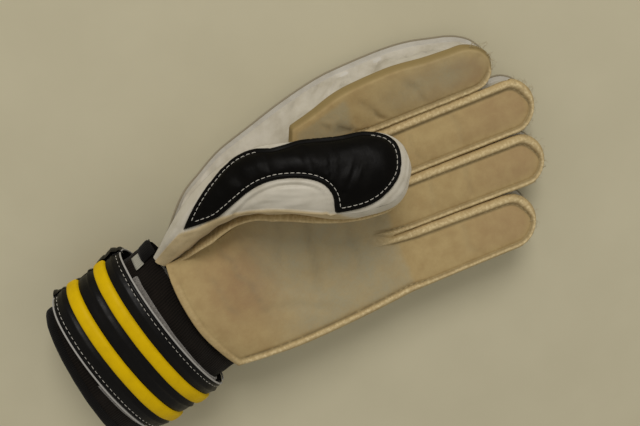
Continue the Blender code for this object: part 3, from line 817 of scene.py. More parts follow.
def palm_height(panel):
    """Height of the palm's foam over its plain surface, how deep in a seam groove each point is (where
    painted shade goes), and where the seam ridges' crest gets a painted highlight.
    """
    x, y = panel.xy.T
    d, s = panel.distance, panel.along
    wrist = 1.0 - smooth(x, -50.0, -40.0)
    rolled = rolled_share(x, y)
    d = d / seam_width(x, y)
    h = profile(d, RAISED) * (1 - rolled) + profile(panel.distance, ROLLED) * rolled
    line = np.interp(x, (-58.0, -21.0, 27.0), (14.5, 26.0, 52.0))
    under_thumb = smooth(y - line, -16.0, -9.0) * (1.0 - smooth(x, 12.0, 24.0))
    plain = np.maximum(0.8 * wrist, under_thumb)
    h *= 1 - plain
    ridge = np.exp(-(((d - 2.2) / 1.4) ** 2))
    border = np.exp(-(((d - 5.2) / 1.2) ** 2))
    gather = np.cos(2 * np.pi * (s + 0.8 * waves(np.column_stack([s, s * 0]), 9.0, seed=1.0)) / 2.7)
    rough = waves(np.column_stack([s, d * 0.5]), 2.0, seed=5.0)
    rumple = ridge * (0.42 * rough + 0.22 * gather) + border * (0.12 * rough - 0.12 * gather)
    h += rumple * (1 - 0.7 * rolled)
    h += 0.3 * waves(np.column_stack([s, d]), 11.0, seed=8.0) * ridge
    h += creases(panel.xy) * smooth(d, 3.0, 8.0)
    h += 0.4 * waves(panel.xy, 19.0, seed=2.0) * smooth(d, 4.0, 12.0)
    # where a seam groove gets painted shade
    groove_shade = np.exp(-(((d - FRONT_SEAM) / 0.5) ** 2)) * (1 - plain) * (1 - rolled)
    return h, groove_shade, ridge * (1 - rolled) * (1 - plain)


def heel_brown_and_tip_shade(x, y, distance):
    """Where the foam is painted browner: over the heel of the hand, and as painted shade towards the ends of
    the fingers.
    """
    heel = np.exp(-(((x + 26.0) / 20.0) ** 2) - ((y + 12.0) / 24.0) ** 2)
    tip = of_nearest("tip", y)
    tips = 0.6 * smooth(x, tip - 62.0, tip - 12.0)
    return np.maximum(heel, tips) * smooth(distance, 3.0, 8.0)


def smudges(panel):
    """Grey dirt on the palm and the index finger."""
    x, y = panel.xy.T
    palm = smooth(x, -34.0, 6.0) * (1 - smooth(x + 0.8 * waves(panel.xy, 9.0, seed=3.0), 57.0, 60.5)) * 0.95
    index = 0.95 * np.exp(-(((x - 104) / 26.0) ** 2) - ((y - 50.0) / 9.0) ** 2)
    smudge = np.maximum(palm * smooth(panel.distance, 3.0, 6.0), index)
    smudge *= np.clip(0.85 + 0.35 * waves(panel.xy, 22.0, seed=4.0), 0.3, 1.1)
    return np.clip(smudge, 0.0, 1.0)


def seam_path(panel, inset):
    """The plan line at a distance inside a panel's edge, and which of its points keep that distance."""
    inset = np.broadcast_to(inset, len(panel.loop))
    spots = panel.loop + inward_of(panel.loop) * inset[:, None]
    return spots, panel.measure(spots)[0] > inset - 0.15


def runs_of(good, owner):
    """Lists of more than three neighbouring good points that share an owner."""
    runs, run = [], []
    for i in range(len(good)):
        if not good[i] or (run and owner[i] != owner[run[-1]]):
            runs.append(run)
            run = []
        if good[i]:
            run.append(i)
    runs.append(run)
    return [run for run in runs if len(run) > 3]


def seam_stitches(name, panel, inset, height, level, material, facing=1, keep=None, **how):
    """Stitches along a panel's seam: one object for the hand and one for each finger."""
    spots, good = seam_path(panel, inset)
    n = normals_of(height, spots[:, 0], spots[:, 1]) * facing
    line = np.column_stack([spots, height(spots[:, 0], spots[:, 1])]) + n * level
    owner = finger_of(spots[:, 0], spots[:, 1])
    if keep is not None:
        good &= keep(spots[:, 0], spots[:, 1])
    parts = {}
    for run in runs_of(good, owner):
        parts.setdefault(LABELS[owner[run[0]]], []).extend(stitches(line[run], n[run], **how))
    mount({label: join(f"{name}_{label}", found, material) for label, found in parts.items() if found})


def build_front():
    """The palm's foam in one piece with the finger fronts."""
    outer = [
        *INDEX_CORNER, (72.0, 63.6), (88.0, 63.6), (104.0, 61.6), (118.0, 60.6), (127.0, 60.0),
        (134.6, 56.2), (139.0, 50.4), (140.2, 45.6),
    ]
    outer = [tuple(p) for p in fine(outer, 2.0)]
    panel = Panel(hand_loop(fine(PALM_THUMB_EDGE, 4.0), outer))
    x, y = panel.xy.T
    height, groove_shade, flange_highlight = palm_height(panel)
    n = normals_of(palm_z, x, y)
    base = np.column_stack([x, y, palm_z(x, y)])
    top = base + n * height[:, None]
    thick = profile(
        panel.distance, [(0, 1.9), (3.0, 3.4), (4.0, 2.4), (6.0, 3.8), (10.0, 4.6), (20.0, 5.0)]
    )
    rolled = rolled_share(x, y)
    rolled_thick = profile(panel.distance, [(0, 0.8), (2.0, 3.2), (4.0, 4.2), (10.0, 5.0)])
    thick = thick * (1 - rolled) + rolled * rolled_thick
    bottom = top - n * thick[:, None]
    extra = {
        "smudge": smudges(panel),
        # painted shade in the stitched seam grooves
        "groove_shade": groove_shade,
        # browner over the heel, and painted shade towards the finger ends
        "brown_and_tip_shade": heel_brown_and_tip_shade(x, y, panel.distance),
        # painted shade in the palm's creases
        "fold": np.clip(-creases(panel.xy), 0.0, 1.2) * smooth(panel.distance, 3.0, 8.0),
        # painted highlight along the crest of the seam ridges
        "painted_highlight": flange_highlight,
        # painted shade along the index's rolled-down edge
        "rim": rolled * (1 - smooth(panel.distance, 0.9, 1.5)),
    }
    pieces = panel_pieces("front", panel, top, bottom, LATEX, extra=extra)
    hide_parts("palm_latex", "palm_lining")
    for name in NAMES:
        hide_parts(f"{name}_latex")
    mount(pieces)
    inset = FRONT_SEAM * seam_width(panel.loop[:, 0], panel.loop[:, 1])

    def stitched(x, y):
        return (rolled_share(x, y) < 0.3) & (x > 48.0)

    seam_stitches(
        "front_stitches", panel, inset, palm_z, -0.75, THREAD_TAN, keep=stitched, length=1.9, gap=1.3,
        radius=0.24, lift=0.0,
    )
    return panel


def build_back():
    """The white backhand with its thin seam flange, quilted along the fingers."""
    outer = [
        tuple(p)
        for p in fine([(124.0, 65.4), (131.0, 62.6), (137.0, 58.2), (141.2, 51.6), (142.2, 46.0)], 2.0)
    ]
    edge = list(fine(BACK_THUMB_EDGE, 4.0))
    wrist = [(-47.2, -54.2), (-51.0, -43.0), (-56.0, -27.0), (-58.6, -10.0), (-59.4, 4.0), (-58.0, 22.0)]
    panel = Panel(
        hand_loop(edge, outer, grow=0.9, wrist=wrist), inner=3.0,
        rings=(0.6, 1.3, 2.0, 2.6, 3.1, 3.7, 4.6, 6.0, 8.0),
    )
    x, y = panel.xy.T
    d = panel.distance
    # The seen side is below: its height is downwards from the plain surface.
    h = profile(
        d,
        [
            (0, -1.1), (0.6, -0.4), (1.3, -0.1), (2.0, -0.3), (2.6, -1.0), (3.1, -1.5), (3.7, -0.8),
            (4.6, -0.2), (6.0, 0.0),
        ],
    )
    channel = np.zeros(len(x))
    for name in NAMES:
        finger = FINGERS[name]
        mine = np.array(NAMES)[nearest_finger(y)] == name
        for at in (finger["bend"] - 20.0, finger["bend"], finger["bend"] + 16.0):
            bow = at + 2.5 * ((y - middle_y(finger, at)) / 12.0) ** 2
            channel += mine * np.exp(-(((x - bow) / 1.0) ** 2))
    for line in (-44.0, -50.0):
        channel += np.exp(-(((x - line - 0.004 * (y + 14) ** 2) / 0.9) ** 2)) * smooth(d, 3.0, 6.0)
    h -= 1.1 * np.clip(channel, 0, 1) * smooth(d, 3.2, 5.0)
    h += 0.22 * waves(panel.xy, 7.0, seed=3.0) * smooth(d, 3.0, 8.0)
    seen = np.column_stack([x, y, back_z(x, y) - h])
    inner = np.column_stack(
        [x, y, back_z(x, y) + profile(d, [(0, 1.9), (3.0, 1.9), (5.0, 3.2), (9.0, 3.6)])]
    )
    pieces = panel_pieces("back", panel, inner, seen, WHITE_BACK, bulge=0.25)
    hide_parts("backhand_panel", "backhand_lining")
    for name in NAMES:
        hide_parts(f"{name}_back")
    mount(pieces)
    seam_stitches(
        "back_stitches", panel, BACK_SEAM, back_z, -1.35, THREAD_WHITE, facing=-1, length=2.4, gap=1.2,
        radius=0.24, lift=0.0,
    )
    build_binding(panel)


def build_binding(panel):
    """The thin tape that binds the backhand's cut edge."""
    loop = panel.loop
    line = np.column_stack([loop, back_z(loop[:, 0], loop[:, 1]) + 1.5])
    owner = finger_of(loop[:, 0], loop[:, 1])
    pieces = {}
    for run in runs_of([True] * len(loop), owner):
        path = line[run + [(run[-1] + 1) % len(loop)]]
        pieces.setdefault(LABELS[owner[run[0]]], []).append(tube(path, 0.6, sides=7))
    pieces = {label: join(f"back_binding_{label}", parts, BINDING) for label, parts in pieces.items()}
    mount(pieces)


def strip(top, bottom, rows=9, bulge=1.6, folds=0.35, seed=0.0):
    """Points of a cloth strip between two 3-D lines, with a soft bulge and folds."""
    top, bottom = np.asarray(top, float), np.asarray(bottom, float)
    share = np.linspace(0.0, 1.0, rows)[:, None, None]
    grid = top[None] * (1 - share) + bottom[None] * share
    along = np.gradient(0.5 * (top + bottom), axis=0)
    down = bottom - top
    out = np.cross(along, down)
    out /= np.linalg.norm(out, axis=1)[:, None] + 1e-9
    width = np.linalg.norm(down, axis=1)
    length = np.concatenate([[0.0], np.cumsum(np.linalg.norm(along, axis=1))[:-1]])
    shape = np.sin(np.pi * share[:, 0, 0])
    for r in range(rows):
        here = np.column_stack([length, width * share[r, 0, 0] * 0.6])
        wave = waves(here, 9.0, seed=seed) + 0.5 * waves(here, 3.5, seed=seed + 7)
        grid[r] += out * (bulge * shape[r] + folds * wave * min(1.0, 2.5 * shape[r]))[:, None]
    return grid


GUSSET_INSET = 3.4  # from the finger's outline in to the gusset's seam with the foam
GUSSET_START = CROTCH_X - 2.5


def finger_strip(name):
    """The gusset round one finger, from crotch to tip to crotch, as top and bottom lines."""
    top = even(finger_loop(name, -GUSSET_INSET, start=GUSSET_START), 1.6)
    bottom_inset = 1.9 if name == "little" else 2.7
    return top, even(finger_loop(name, -bottom_inset, start=GUSSET_START), count=len(top))


def lifted(top, bottom):
    """Two plan lines raised to the foam's underside and to the backhand's upper side."""
    high = np.column_stack([top, palm_z(top[:, 0], top[:, 1]) - 2.9])
    low = np.column_stack([bottom, back_z(bottom[:, 0], bottom[:, 1]) + 2.1])
    return high, low


def let_go(grid, grow=0.07, pressure=1.2, cap=2.0):
    """A strip after a cloth simulation: cut slightly too large, sewn along its border, filled from inside."""
    rows, columns = grid.shape[:2]
    draft = make("cloth_draft", grid.reshape(-1, 3), grid_faces(rows, columns), WHITE)
    numbers = np.arange(rows * columns).reshape(rows, columns)
    border = np.unique(np.concatenate([numbers[0], numbers[-1], numbers[:, 0], numbers[:, -1]]))
    draft.vertex_groups.new(name="sewn").add([int(i) for i in border], 1.0, "REPLACE")
    cloth = draft.modifiers.new("cloth", "CLOTH")
    settings = cloth.settings
    settings.vertex_group_mass = "sewn"
    settings.quality = 8
    settings.mass = 0.15
    settings.tension_stiffness = settings.compression_stiffness = 30.0
    settings.shear_stiffness = 10.0
    settings.bending_stiffness = 0.02
    settings.air_damping = 4.0
    settings.use_pressure = True
    settings.uniform_pressure_force = pressure
    settings.shrink_min = -grow
    settings.effector_weights.gravity = 0.0
    frames = 20
    cloth.point_cache.frame_start, cloth.point_cache.frame_end = 1, frames
    scene = bpy.context.scene
    for frame in range(1, frames + 1):
        scene.frame_set(frame)
    shown = draft.evaluated_get(bpy.context.evaluated_depsgraph_get())
    points = np.empty(rows * columns * 3, np.float32)
    shown.data.vertices.foreach_get("co", points)
    scene.frame_set(1)
    bpy.data.objects.remove(draft)
    moved = points.reshape(rows, columns, 3).astype(float) * 1000.0 - grid
    reach = np.linalg.norm(moved, axis=2, keepdims=True)
    return grid + moved * np.minimum(1.0, cap / np.maximum(reach, 1e-6))


def cut_grid(name, grid, replaces):
    """White objects of a strip, cut where the finger starts to bend."""
    columns = grid.shape[1]
    owner = finger_of(grid[0, :, 0], grid[0, :, 1])
    starts = [0] + [i for i in range(1, columns) if owner[i] != owner[i - 1]] + [columns]
    found = {}
    for a, b in zip(starts, starts[1:]):
        label = LABELS[owner[a]]
        # the hand's part reaches over the cut by a column, to meet the finger's
        if label == "hand":
            a, b = max(a - 1, 0), min(b + 1, columns)
        if b - a > 1:
            found.setdefault(label, []).append(grid[:, a:b])
    pieces = {}
    for label, grids in found.items():
        parts = [(g.reshape(-1, 3), grid_faces(*g.shape[:2], flip=True), grid_uv(g)) for g in grids]
        piece = join(f"{name}_{label}", parts, WHITE)
        pieces[label] = piece
    for label, node in replaces.items():
        if label in pieces:
            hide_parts(*node)
    mount(pieces)


def build_gussets():
    """The white strips between the palm and the backhand."""
    nodes = {
        "middle": {"middle": ["middle_gusset"], "hand": ["fourchette_index_middle"]},
        "ring": {"ring": ["ring_gusset"], "hand": ["fourchette_middle_ring"]},
        "little": {"little": ["little_gusset"], "hand": ["fourchette_ring_little"]},
    }
    for number, name in enumerate(("middle", "ring", "little")):
        top, bottom = finger_strip(name)
        grid = strip(*lifted(top, bottom), seed=3.0 * number, bulge=1.2)
        cut_grid(f"gusset_{name}", grid, nodes[name])

    # The little-finger side of the hand.
    top = fine([(CROTCH_X, -52.4), (25.0, -54.4), (-10.0, -54.4), (-44.0, -50.6)], 1.8)
    bottom = even(
        fine([(CROTCH_X, -53.6), (25.0, -54.9), (-10.0, -54.9), (-44.0, -51.2)], 1.8), count=len(top)
    )
    grid = strip(*lifted(top, bottom), rows=10, bulge=2.4, folds=0.6, seed=21.0)
    piece = surface("gusset_little_side", grid, WHITE, flip=True)
    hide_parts("little_side_gusset")
    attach(piece, "hand")

    # The index side, from the inner crotch round the tip and back along the flared backhand to the wrist.
    index = FINGERS["index"]
    inner = finger_edge(index, -1, GUSSET_START, -GUSSET_INSET)
    outer = finger_edge(index, 1, 72.0, -GUSSET_INSET)[::-1]
    top = inner + outer[1:] + [
        (55.0, 57.6), (40.0, 54.0), (28.5, 50.0), (14.0, 34.6), (-8.0, 22.8), (-34.0, 13.6), (-52.0, 11.6)
    ]
    bottom = finger_edge(index, -1, GUSSET_START, -1.9)
    bottom += [
        (136.0, 55.2), (130.5, 60.0), (118.0, 63.8), (104.0, 67.0), (88.0, 68.3), (66.0, 68.0),
        (50.0, 66.8), (28.0, 62.4), (5.0, 56.0), (-14.0, 50.4), (-28.0, 43.8), (-42.0, 37.0), (-55.0, 20.8),
    ]
    bottom = fine(bottom, 2.0)
    top = fine(top, 2.0)
    grid = let_go(strip(*lifted(*matched(top, bottom)), rows=16, bulge=2.6, folds=0.55, seed=31.0))
    replaces = {"index": ["index_gusset"], "hand": ["index_side_gusset", "thumb_web_gusset"]}
    cut_grid("gusset_index", grid, replaces)


def matched(top, bottom):
    """Two plan lines resampled so that points face each other, from key places along both."""
    def share(path, keys):
        along = lengths(path)
        return [along[np.linalg.norm(path - np.array(k), axis=1).argmin()] for k in keys], along

    top_keys = [
        top[0], (126.0, 36.0), (134.5, 47.5), (127.0, 57.0), (100.0, 58.8), (72.0, 57.9), (40.0, 53.7),
        (28.5, 50.0), (-8.0, 22.8), top[-1],
    ]
    bottom_keys = [
        bottom[0], (126.0, 34.0), (139.0, 47.5), (130.5, 60.0), (102.0, 67.4), (74.0, 68.2), (48.0, 66.6),
        (36.0, 64.6), (-8.0, 52.4), bottom[-1],
    ]
    ts, ta = share(top, top_keys)
    bs, ba = share(bottom, bottom_keys)
    weights = np.arange(len(ts))
    spread = np.interp(np.linspace(ts[0], ts[-1], 150), ts, weights)
    return [
        points_at(path, along, np.interp(spread, weights, keys))
        for keys, along, path in ((ts, ta, top), (bs, ba, bottom))
    ]


# ---------------------------------------------------------------- the black pad on the back
def build_knuckle_pad():
    """The padded cover with four bars that the glove rests on."""
    outline = fine([(-26, -34), (-30, -10), (-28, 18), (-14, 36), (8, 44), (36, 46)], 3.0)
    front_end = fine([(36, 46), (38, 20), (36, -46)], 3.0)[1:]
    lower_side = fine([(36, -46), (0, -46), (-26, -34)], 3.0)[1:-1]
    outline = np.concatenate([outline, front_end, lower_side])
    panel = Panel(outline[::-1], inner=2.2, rings=(0.6, 1.3, 2.0, 2.6, 3.2, 4.0, 5.2))
    x, y = panel.xy.T
    d = panel.distance
    h = profile(
        d, [(0, -0.9), (0.6, -0.35), (1.3, -0.1), (2.0, -0.3), (2.6, -0.9), (3.2, -0.35), (4.0, 0.0)]
    )
    for at in (-26.0, -9.0, 9.0, 27.0):
        bar = np.exp(-(((y - at) / 5.2) ** 4)) * smooth(x, -16.0, -10.0) * (1 - smooth(x, 24.0, 30.0))
        h -= 0.7 * np.exp(-(((bar - 0.5) / 0.16) ** 2)) * (bar > 0.05)
    low = np.column_stack([x, y, np.maximum(-h, 0.0)])
    high = np.column_stack([x, y, np.full(len(x), 2.2)])
    count = len(x)
    faces = [tuple(f) for f in panel.faces] + [tuple(count + f[::-1]) for f in panel.faces]
    faces += [(int(b), int(a), count + int(a), count + int(b)) for a, b in panel.border]
    piece = make(
        "knuckle_pad_cover", np.concatenate([high, low]), faces, STRAP_BLACK,
        uv=np.concatenate([panel.xy, panel.xy]),
    )
    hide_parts("knuckle_pad")
    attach(piece, "hand")


# ---------------------------------------------------------------- thumb
ROOT = [(-60.0, 17.5, 41.0), (-50.0, 23.5, 45.5)]
THUMB_PATH = fine([*ROOT, *THUMB_LINE], 1.5)
THUMB_AT = lengths(THUMB_PATH)
THUMB_LENGTH = THUMB_AT[-1]
BASE_AT = float(THUMB_AT[np.linalg.norm(THUMB_PATH - np.array(THUMB_LINE[0]), axis=1).argmin()])
THUMB_SMOOTH = [np.polyfit(THUMB_AT, THUMB_PATH[:, k], 6) for k in range(3)]
THUMB_ROLL = math.radians(18.0)
THUMB_SEAM_UP, THUMB_SEAM_DOWN, THUMB_UNDER = 7.3, -6.9, -9.0  # depths of the back's and the foam's edges


def thumb_frame(at):
    """The thumb's middle line there: its point, and the directions across, to the back and ahead."""
    point = np.array([np.polyval(c, at) for c in THUMB_SMOOTH])
    ahead = np.array([np.polyval(np.polyder(c), at) for c in THUMB_SMOOTH])
    ahead /= np.linalg.norm(ahead)
    lean = np.array([0.0, math.sin(THUMB_ROLL), math.cos(THUMB_ROLL)])
    back = lean - ahead * lean.dot(ahead)
    back /= np.linalg.norm(back)
    return point, np.cross(back, ahead), back, ahead


TIP_HALF = 18.8


def thumb_half(at):
    """Half of the thumb's width, which closes in a half circle at its tip."""
    widths = [(0.0, 4.0), (BASE_AT * 0.55, 6.0)] + [(BASE_AT + a, w) for a, w in THUMB_HALF_WIDTH]
    body = float(np.interp(at, *zip(*widths)))
    if at <= THUMB_LENGTH - body:
        return body
    return body * math.sqrt(max(1.0 - ((at - THUMB_LENGTH + body) / body) ** 2, 0.0))


def thumb_depth(at):
    """How thick the thumb is there, against its full thickness: less at the wrist."""
    return float(0.42 + 0.58 * smooth(at, 0.0, BASE_AT + 10.0))


def thumb_point(at, across, deep):
    """A point of the thumb: along it, across it, and towards its back."""
    point, side, back, ahead = thumb_frame(min(at, THUMB_LENGTH))
    return point + ahead * max(at - THUMB_LENGTH, 0.0) + side * across + back * deep * thumb_depth(at)


def thumb_skin(at, across):
    """A point on the thumb's back, and the outward direction there."""
    end = min(max((at - THUMB_LENGTH + TIP_HALF) / TIP_HALF, 0.0), 1.0)
    half = thumb_half(at)
    share = min(max(across / max(half, 1e-3), -1.0), 1.0)
    rim = math.sqrt(share**2 * (1.0 - end**2) + end**2)
    _, side, back, ahead = thumb_frame(min(at, THUMB_LENGTH))
    normal = back + side * share * 0.85 * math.sqrt(1 - 0.5 * end**2) + ahead * 0.75 * end**2
    return thumb_point(at, across, 13.5 - 6.3 * rim**2.3), normal / np.linalg.norm(normal)


PATCH_UPPER = [
    (29.0, -0.8), (37.9, 2.2), (45.9, 5.1), (52.6, 7.9), (58.7, 11.0), (65.5, 13.9), (72.2, 15.0),
    (76.0, 14.5), (80.0, 14.2), (85.0, 15.6), (91.0, 17.8), (100.0, 19.0), (110.0, 19.6), (124.0, 19.8),
    (131.0, 18.6), (137.9, 14.8), (141.6, 10.0), (142.6, 4.0), (140.7, -3.5), (136.4, -9.2), (128.5, -14.2),
    (121.0, -16.6), (113.5, -17.4), (107.6, -17.8),
]
PATCH_LOWER = [
    (107.6, -17.8), (107.2, -14.6), (106.8, -10.6), (104.4, -6.0), (100.0, -2.8), (93.6, -1.4),
    (86.9, -1.3), (80.1, -1.9), (73.4, -3.2), (67.5, -4.9), (60.6, -6.9), (52.8, -8.1), (46.5, -8.2),
    (41.0, -6.7), (35.5, -4.4), (29.0, -0.8),
]
PATCH_FOLDS = [
    ((105.8, 9.0), (105.8, -2.5), 0.9, 1.0), ((119.5, 3.5), (110.0, -9.5), 0.9, 1.3),
    ((92.0, 13.0), (97.0, 2.0), 1.6, 0.5), ((62.0, 10.0), (66.0, -2.0), 2.0, 0.5),
    ((47.0, 4.0), (52.0, -6.0), 1.8, 0.4), ((76.0, 13.0), (78.0, 3.0), 1.4, 0.7),
]


def thumb_blend(piece):
    """The piece's placement is baked into its mesh; it is left on no body."""
    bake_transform(piece)


def thumb_outline():
    """The thumb's plan outline, from the wrist along its low side round the tip and back, and outward."""
    straight_end = THUMB_LENGTH - TIP_HALF
    straight = np.arange(0.0, straight_end, 1.5)
    low = [(a, -thumb_half(a)) for a in straight]
    turn = np.linspace(-math.pi / 2, math.pi / 2, 34)
    tip = [(straight_end + TIP_HALF * math.cos(t), TIP_HALF * math.sin(t)) for t in turn]
    line = np.array(low + tip + [(a, -v) for a, v in low[::-1]])
    ahead = np.gradient(line, axis=0)
    out = np.column_stack([ahead[:, 1], -ahead[:, 0]]) / np.linalg.norm(ahead, axis=1)[:, None]
    return line, out


def thumb_ledge(at, across):
    """How far the palm-side foam stands out past the white side: more on the side turned to the palm."""
    low = 1.0 - float(smooth(across, -6.0, 6.0))
    ledge = float(
        np.interp(
            at, (0.0, 12.0, 30.0, 45.0, 62.0, 100.0, 118.0, 150.0), (1.5, 4.5, 6.5, 5.4, 4.6, 4.4, 3.6, 3.0)
        )
    )
    return low * ledge + (1 - low) * 1.2


def build_thumb():
    """Foam palm side with its flange, white side and back, and the black patch."""
    patch = Panel(
        [*fine(PATCH_UPPER, 1.2), *fine(PATCH_LOWER, 1.2)[1:-1]], step=1.0, inner=1.9,
        rings=(0.4, 0.9, 1.5, 2.1, 2.6, 3.1, 3.8, 5.0),
    )
    build_thumb_back(patch)
    build_patch(patch)
    line, out = thumb_outline()
    build_thumb_side(line, out)
    build_thumb_front(line, out)


def thumb_foam(at, across):
    """1 where the palm's foam laps over the thumb's white cloth: along the low side near the wrist."""
    top = float(
        np.interp(
            at, (0.0, 14.0, 26.0, 34.0, 42.0, 50.0, 58.0, 70.0, 84.0, 104.0, 113.0, 122.0),
            (1.0, 0.5, -0.5, -4.6, -7.0, -9.6, -12.0, -14.6, -15.8, -17.4, -19.2, -24.0),
        )
    )
    return float(1.0 - smooth(across, top - 0.35, top + 0.35))


def build_thumb_back(patch):
    """The white back, with the seam ridge beside the patch and soft folds below it."""
    straight_end = THUMB_LENGTH - TIP_HALF
    rows = list(np.arange(0.0, straight_end, 1.6))
    rows += [straight_end + TIP_HALF * math.sin(math.pi / 2 * k / 16) for k in range(17)]
    shares = np.concatenate([np.linspace(-1.0, 0.2, 44), np.linspace(0.25, 1.0, 12)])
    spots = np.array([(at, share * thumb_half(at)) for at in rows for share in shares])
    distance = patch.measure(spots)[0]
    covered = patch.inside(spots)
    soft = waves(np.column_stack([spots[:, 0] / 16.0, spots[:, 1] / 5.0]), 1.0, seed=6.0)
    long_folds = waves(np.column_stack([spots[:, 0] / 30.0, spots[:, 1] / 3.2]), 1.0, seed=12.0)
    grid = []
    for (at, across), gap, under, fold, ply in zip(spots, distance, covered, soft, long_folds):
        p, n = thumb_skin(at, across)
        low = across < 4.0
        ridge = 0.0
        if under:
            ridge = -0.4
        elif low:
            near = 1.0 if 45.0 < at < THUMB_LENGTH - 40.0 else 0.35
            crest = 0.9 * math.exp(-(((gap - 1.6) / 1.0) ** 2))
            ridge = near * (crest - 0.6 * math.exp(-(((gap - 3.4) / 0.55) ** 2)))
            foam = thumb_foam(at, across)
            ridge += 0.9 * foam - 0.5 * math.exp(-((4 * (foam - 0.5)) ** 2))
            inside = 1.0 - min(1.0, abs(across) / max(thumb_half(at), 1.0)) ** 6
            ridge += (0.75 * fold + 0.35 * ply + 0.7) * min(1.0, gap / 6.0) * inside
        grid.append(p + n * ridge)
    back = surface("thumb_back", np.array(grid).reshape(len(rows), len(shares), 3), WHITE)
    paint(back.data, "foam", [thumb_foam(at, across) for at, across in spots])
    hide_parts("thumb_back_panel")
    thumb_blend(back)


def build_patch(patch):
    """The glossy patch: its edge turned down, a stitched groove inside it, and its creases."""
    d = patch.distance
    h = profile(
        d,
        [
            (0, 0.0), (0.4, 1.0), (0.9, 1.4), (1.5, 1.4), (2.1, 0.95), (2.6, 0.85), (3.1, 1.3), (3.8, 1.6),
            (5.0, 1.8), (9.0, 2.2),
        ],
    )
    for a, b, width, deep in PATCH_FOLDS:
        t, off = beside(patch.xy, a, b)
        fade = smooth(t, -0.3, 0.2) * (1 - smooth(t, 0.8, 1.3)) * smooth(d, 2.6, 5.0)
        h -= deep * fade * np.exp(-((off / width) ** 2))
        h += 0.5 * deep * fade * np.exp(-(((np.abs(off) - 2.0 * width) / width) ** 2))
    h += 0.35 * waves(patch.xy, 9.0, seed=3.0) * smooth(d, 3.0, 6.0)
    h += 0.08 * waves(np.column_stack([patch.along, d]), 2.5, seed=2.0)
    skin = [thumb_skin(a, v) for a, v in patch.xy]
    points = np.array([p + n * k for (p, n), k in zip(skin, h)])
    cover = make("thumb_patch_cover", points, patch.faces, BLACK, uv=patch.xy)
    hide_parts("thumb_patch")
    thumb_blend(cover)
    spots, good = seam_path(patch, PATCH_SEAM)
    # no stitches along this part of the far edge
    good &= ~((spots[:, 0] > 75.0) & (spots[:, 0] < 132.0) & (spots[:, 1] > 9.0))
    skin = [thumb_skin(a, v) for a, v in spots]
    line = np.array([p + n * 0.95 for p, n in skin])
    out = np.array([n for _, n in skin])
    parts = []
    for run in runs_of(good, [0] * len(good)):
        parts += stitches(line[run], out[run], length=2.0, gap=0.9, radius=0.19, lift=0.12)
    threads = join("thumb_patch_stitches", parts, THREAD_WHITE)
    thumb_blend(threads)


def build_thumb_side(line, out):
    """The white side, round the whole thumb."""
    grid = []
    for t in np.linspace(0.0, 1.0, 12):
        row = []
        for (at, across), n in zip(line, out):
            low = 1.0 - float(smooth(across, -6.0, 6.0))
            bulge = (1.0 + 1.4 * float(smooth(at, 95.0, 112.0))) * low + 0.5 * (1 - low)
            wave = 0.5 * noise.noise(Vector((at / 7.0, across / 7.0, t * 2.0)))
            push = (bulge + wave) * math.sin(math.pi * min(t * 1.15, 1.0)) + 0.3 * t
            place = (at + n[0] * push, across + n[1] * push)
            row.append(thumb_point(*place, THUMB_SEAM_UP + (THUMB_SEAM_DOWN - THUMB_SEAM_UP) * t))
        grid.append(row)
    side = surface("thumb_side", grid, WHITE, flip=True)
    start = np.interp(line[:, 0], (108.0, 132.0), (0.0, 1.1))
    low_side = (line[:, 1] < 0.0) & (line[:, 0] < 132.0)
    shares = np.linspace(0.05, 1.0, 12)[:, None]
    paint(side.data, "foam", (low_side * smooth(shares, start - 0.05, start + 0.05)).ravel())
    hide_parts("thumb_gusset")
    thumb_blend(side)


def build_thumb_front(line, out):
    """The foam on the palm side: its ledge past the white side, its cut edge and its underside."""
    reach = np.array([thumb_ledge(at, across) for at, across in line])
    rows = [
        (0.1, THUMB_SEAM_DOWN, 0.0), (0.45, -6.3, 1.0), (0.75, -6.1, 1.0), (0.93, -6.5, 0.6),
        (1.0, -7.2, 0.3), (1.02, -8.2, 0.2), (1.0, THUMB_UNDER, 0.0),
    ]
    grid = []
    for share, deep, pucker in rows:
        row = []
        for (at, across), n, ledge in zip(line, out, reach):
            ripple = 0.55 * pucker * noise.noise(Vector((at / 2.4, across / 2.4, 4.0)))
            ripple += 0.5 * pucker * noise.noise(Vector((at / 9.0, across / 9.0, 1.0)))
            low = 1.0 - float(smooth(across, -4.0, 4.0))
            rise = float(
                np.interp(at, (0.0, 18.0, 36.0, 52.0, 66.0, 150.0), (9.0, 12.0, 10.0, 5.5, 2.0, 0.5))
            )
            lift = low * min(share, 0.9) * rise
            row.append(
                thumb_point(at + n[0] * ledge * share, across + n[1] * ledge * share, deep + ripple + lift)
            )
        grid.append(row)
    ledge = surface("thumb_front_ledge", grid, LATEX, flip=True)
    # painted highlight over the whole ledge
    paint(ledge.data, "painted_highlight", 0.6)
    thumb_blend(ledge)

    under = Panel(
        line + out * reach[:, None], step=1.6, inner=3.0, rings=(0.6, 1.3, 2.2, 3.0, 3.6, 4.2, 5.0, 7.0)
    )
    h = profile(
        under.distance,
        [
            (0, 0.0), (0.6, 0.7), (1.3, 1.1), (2.2, 1.1), (3.0, 0.4), (3.6, -0.4), (4.2, 0.2), (5.0, 0.7),
            (7.0, 1.2), (12.0, 2.0), (20.0, 2.6),
        ],
    )
    rough = waves(np.column_stack([under.along, under.distance * 0.5]), 2.2, seed=4.0)
    h += 0.2 * rough * np.exp(-(((under.distance - 2.0) / 1.5) ** 2))
    points = [thumb_point(a, v, THUMB_UNDER - k) for (a, v), k in zip(under.xy, h)]
    front = make("thumb_front", points, under.faces[:, ::-1], LATEX, uv=under.xy)
    paint(front.data, "smudge", 0.3)
    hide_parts("thumb_latex")
    thumb_blend(front)


# ---------------------------------------------------------------- cuff and strap
AHEAD = np.array([-math.cos(CUFF_YAW), -math.sin(CUFF_YAW), 0.0])
SIDE = np.array([-math.sin(CUFF_YAW), math.cos(CUFF_YAW), 0.0])


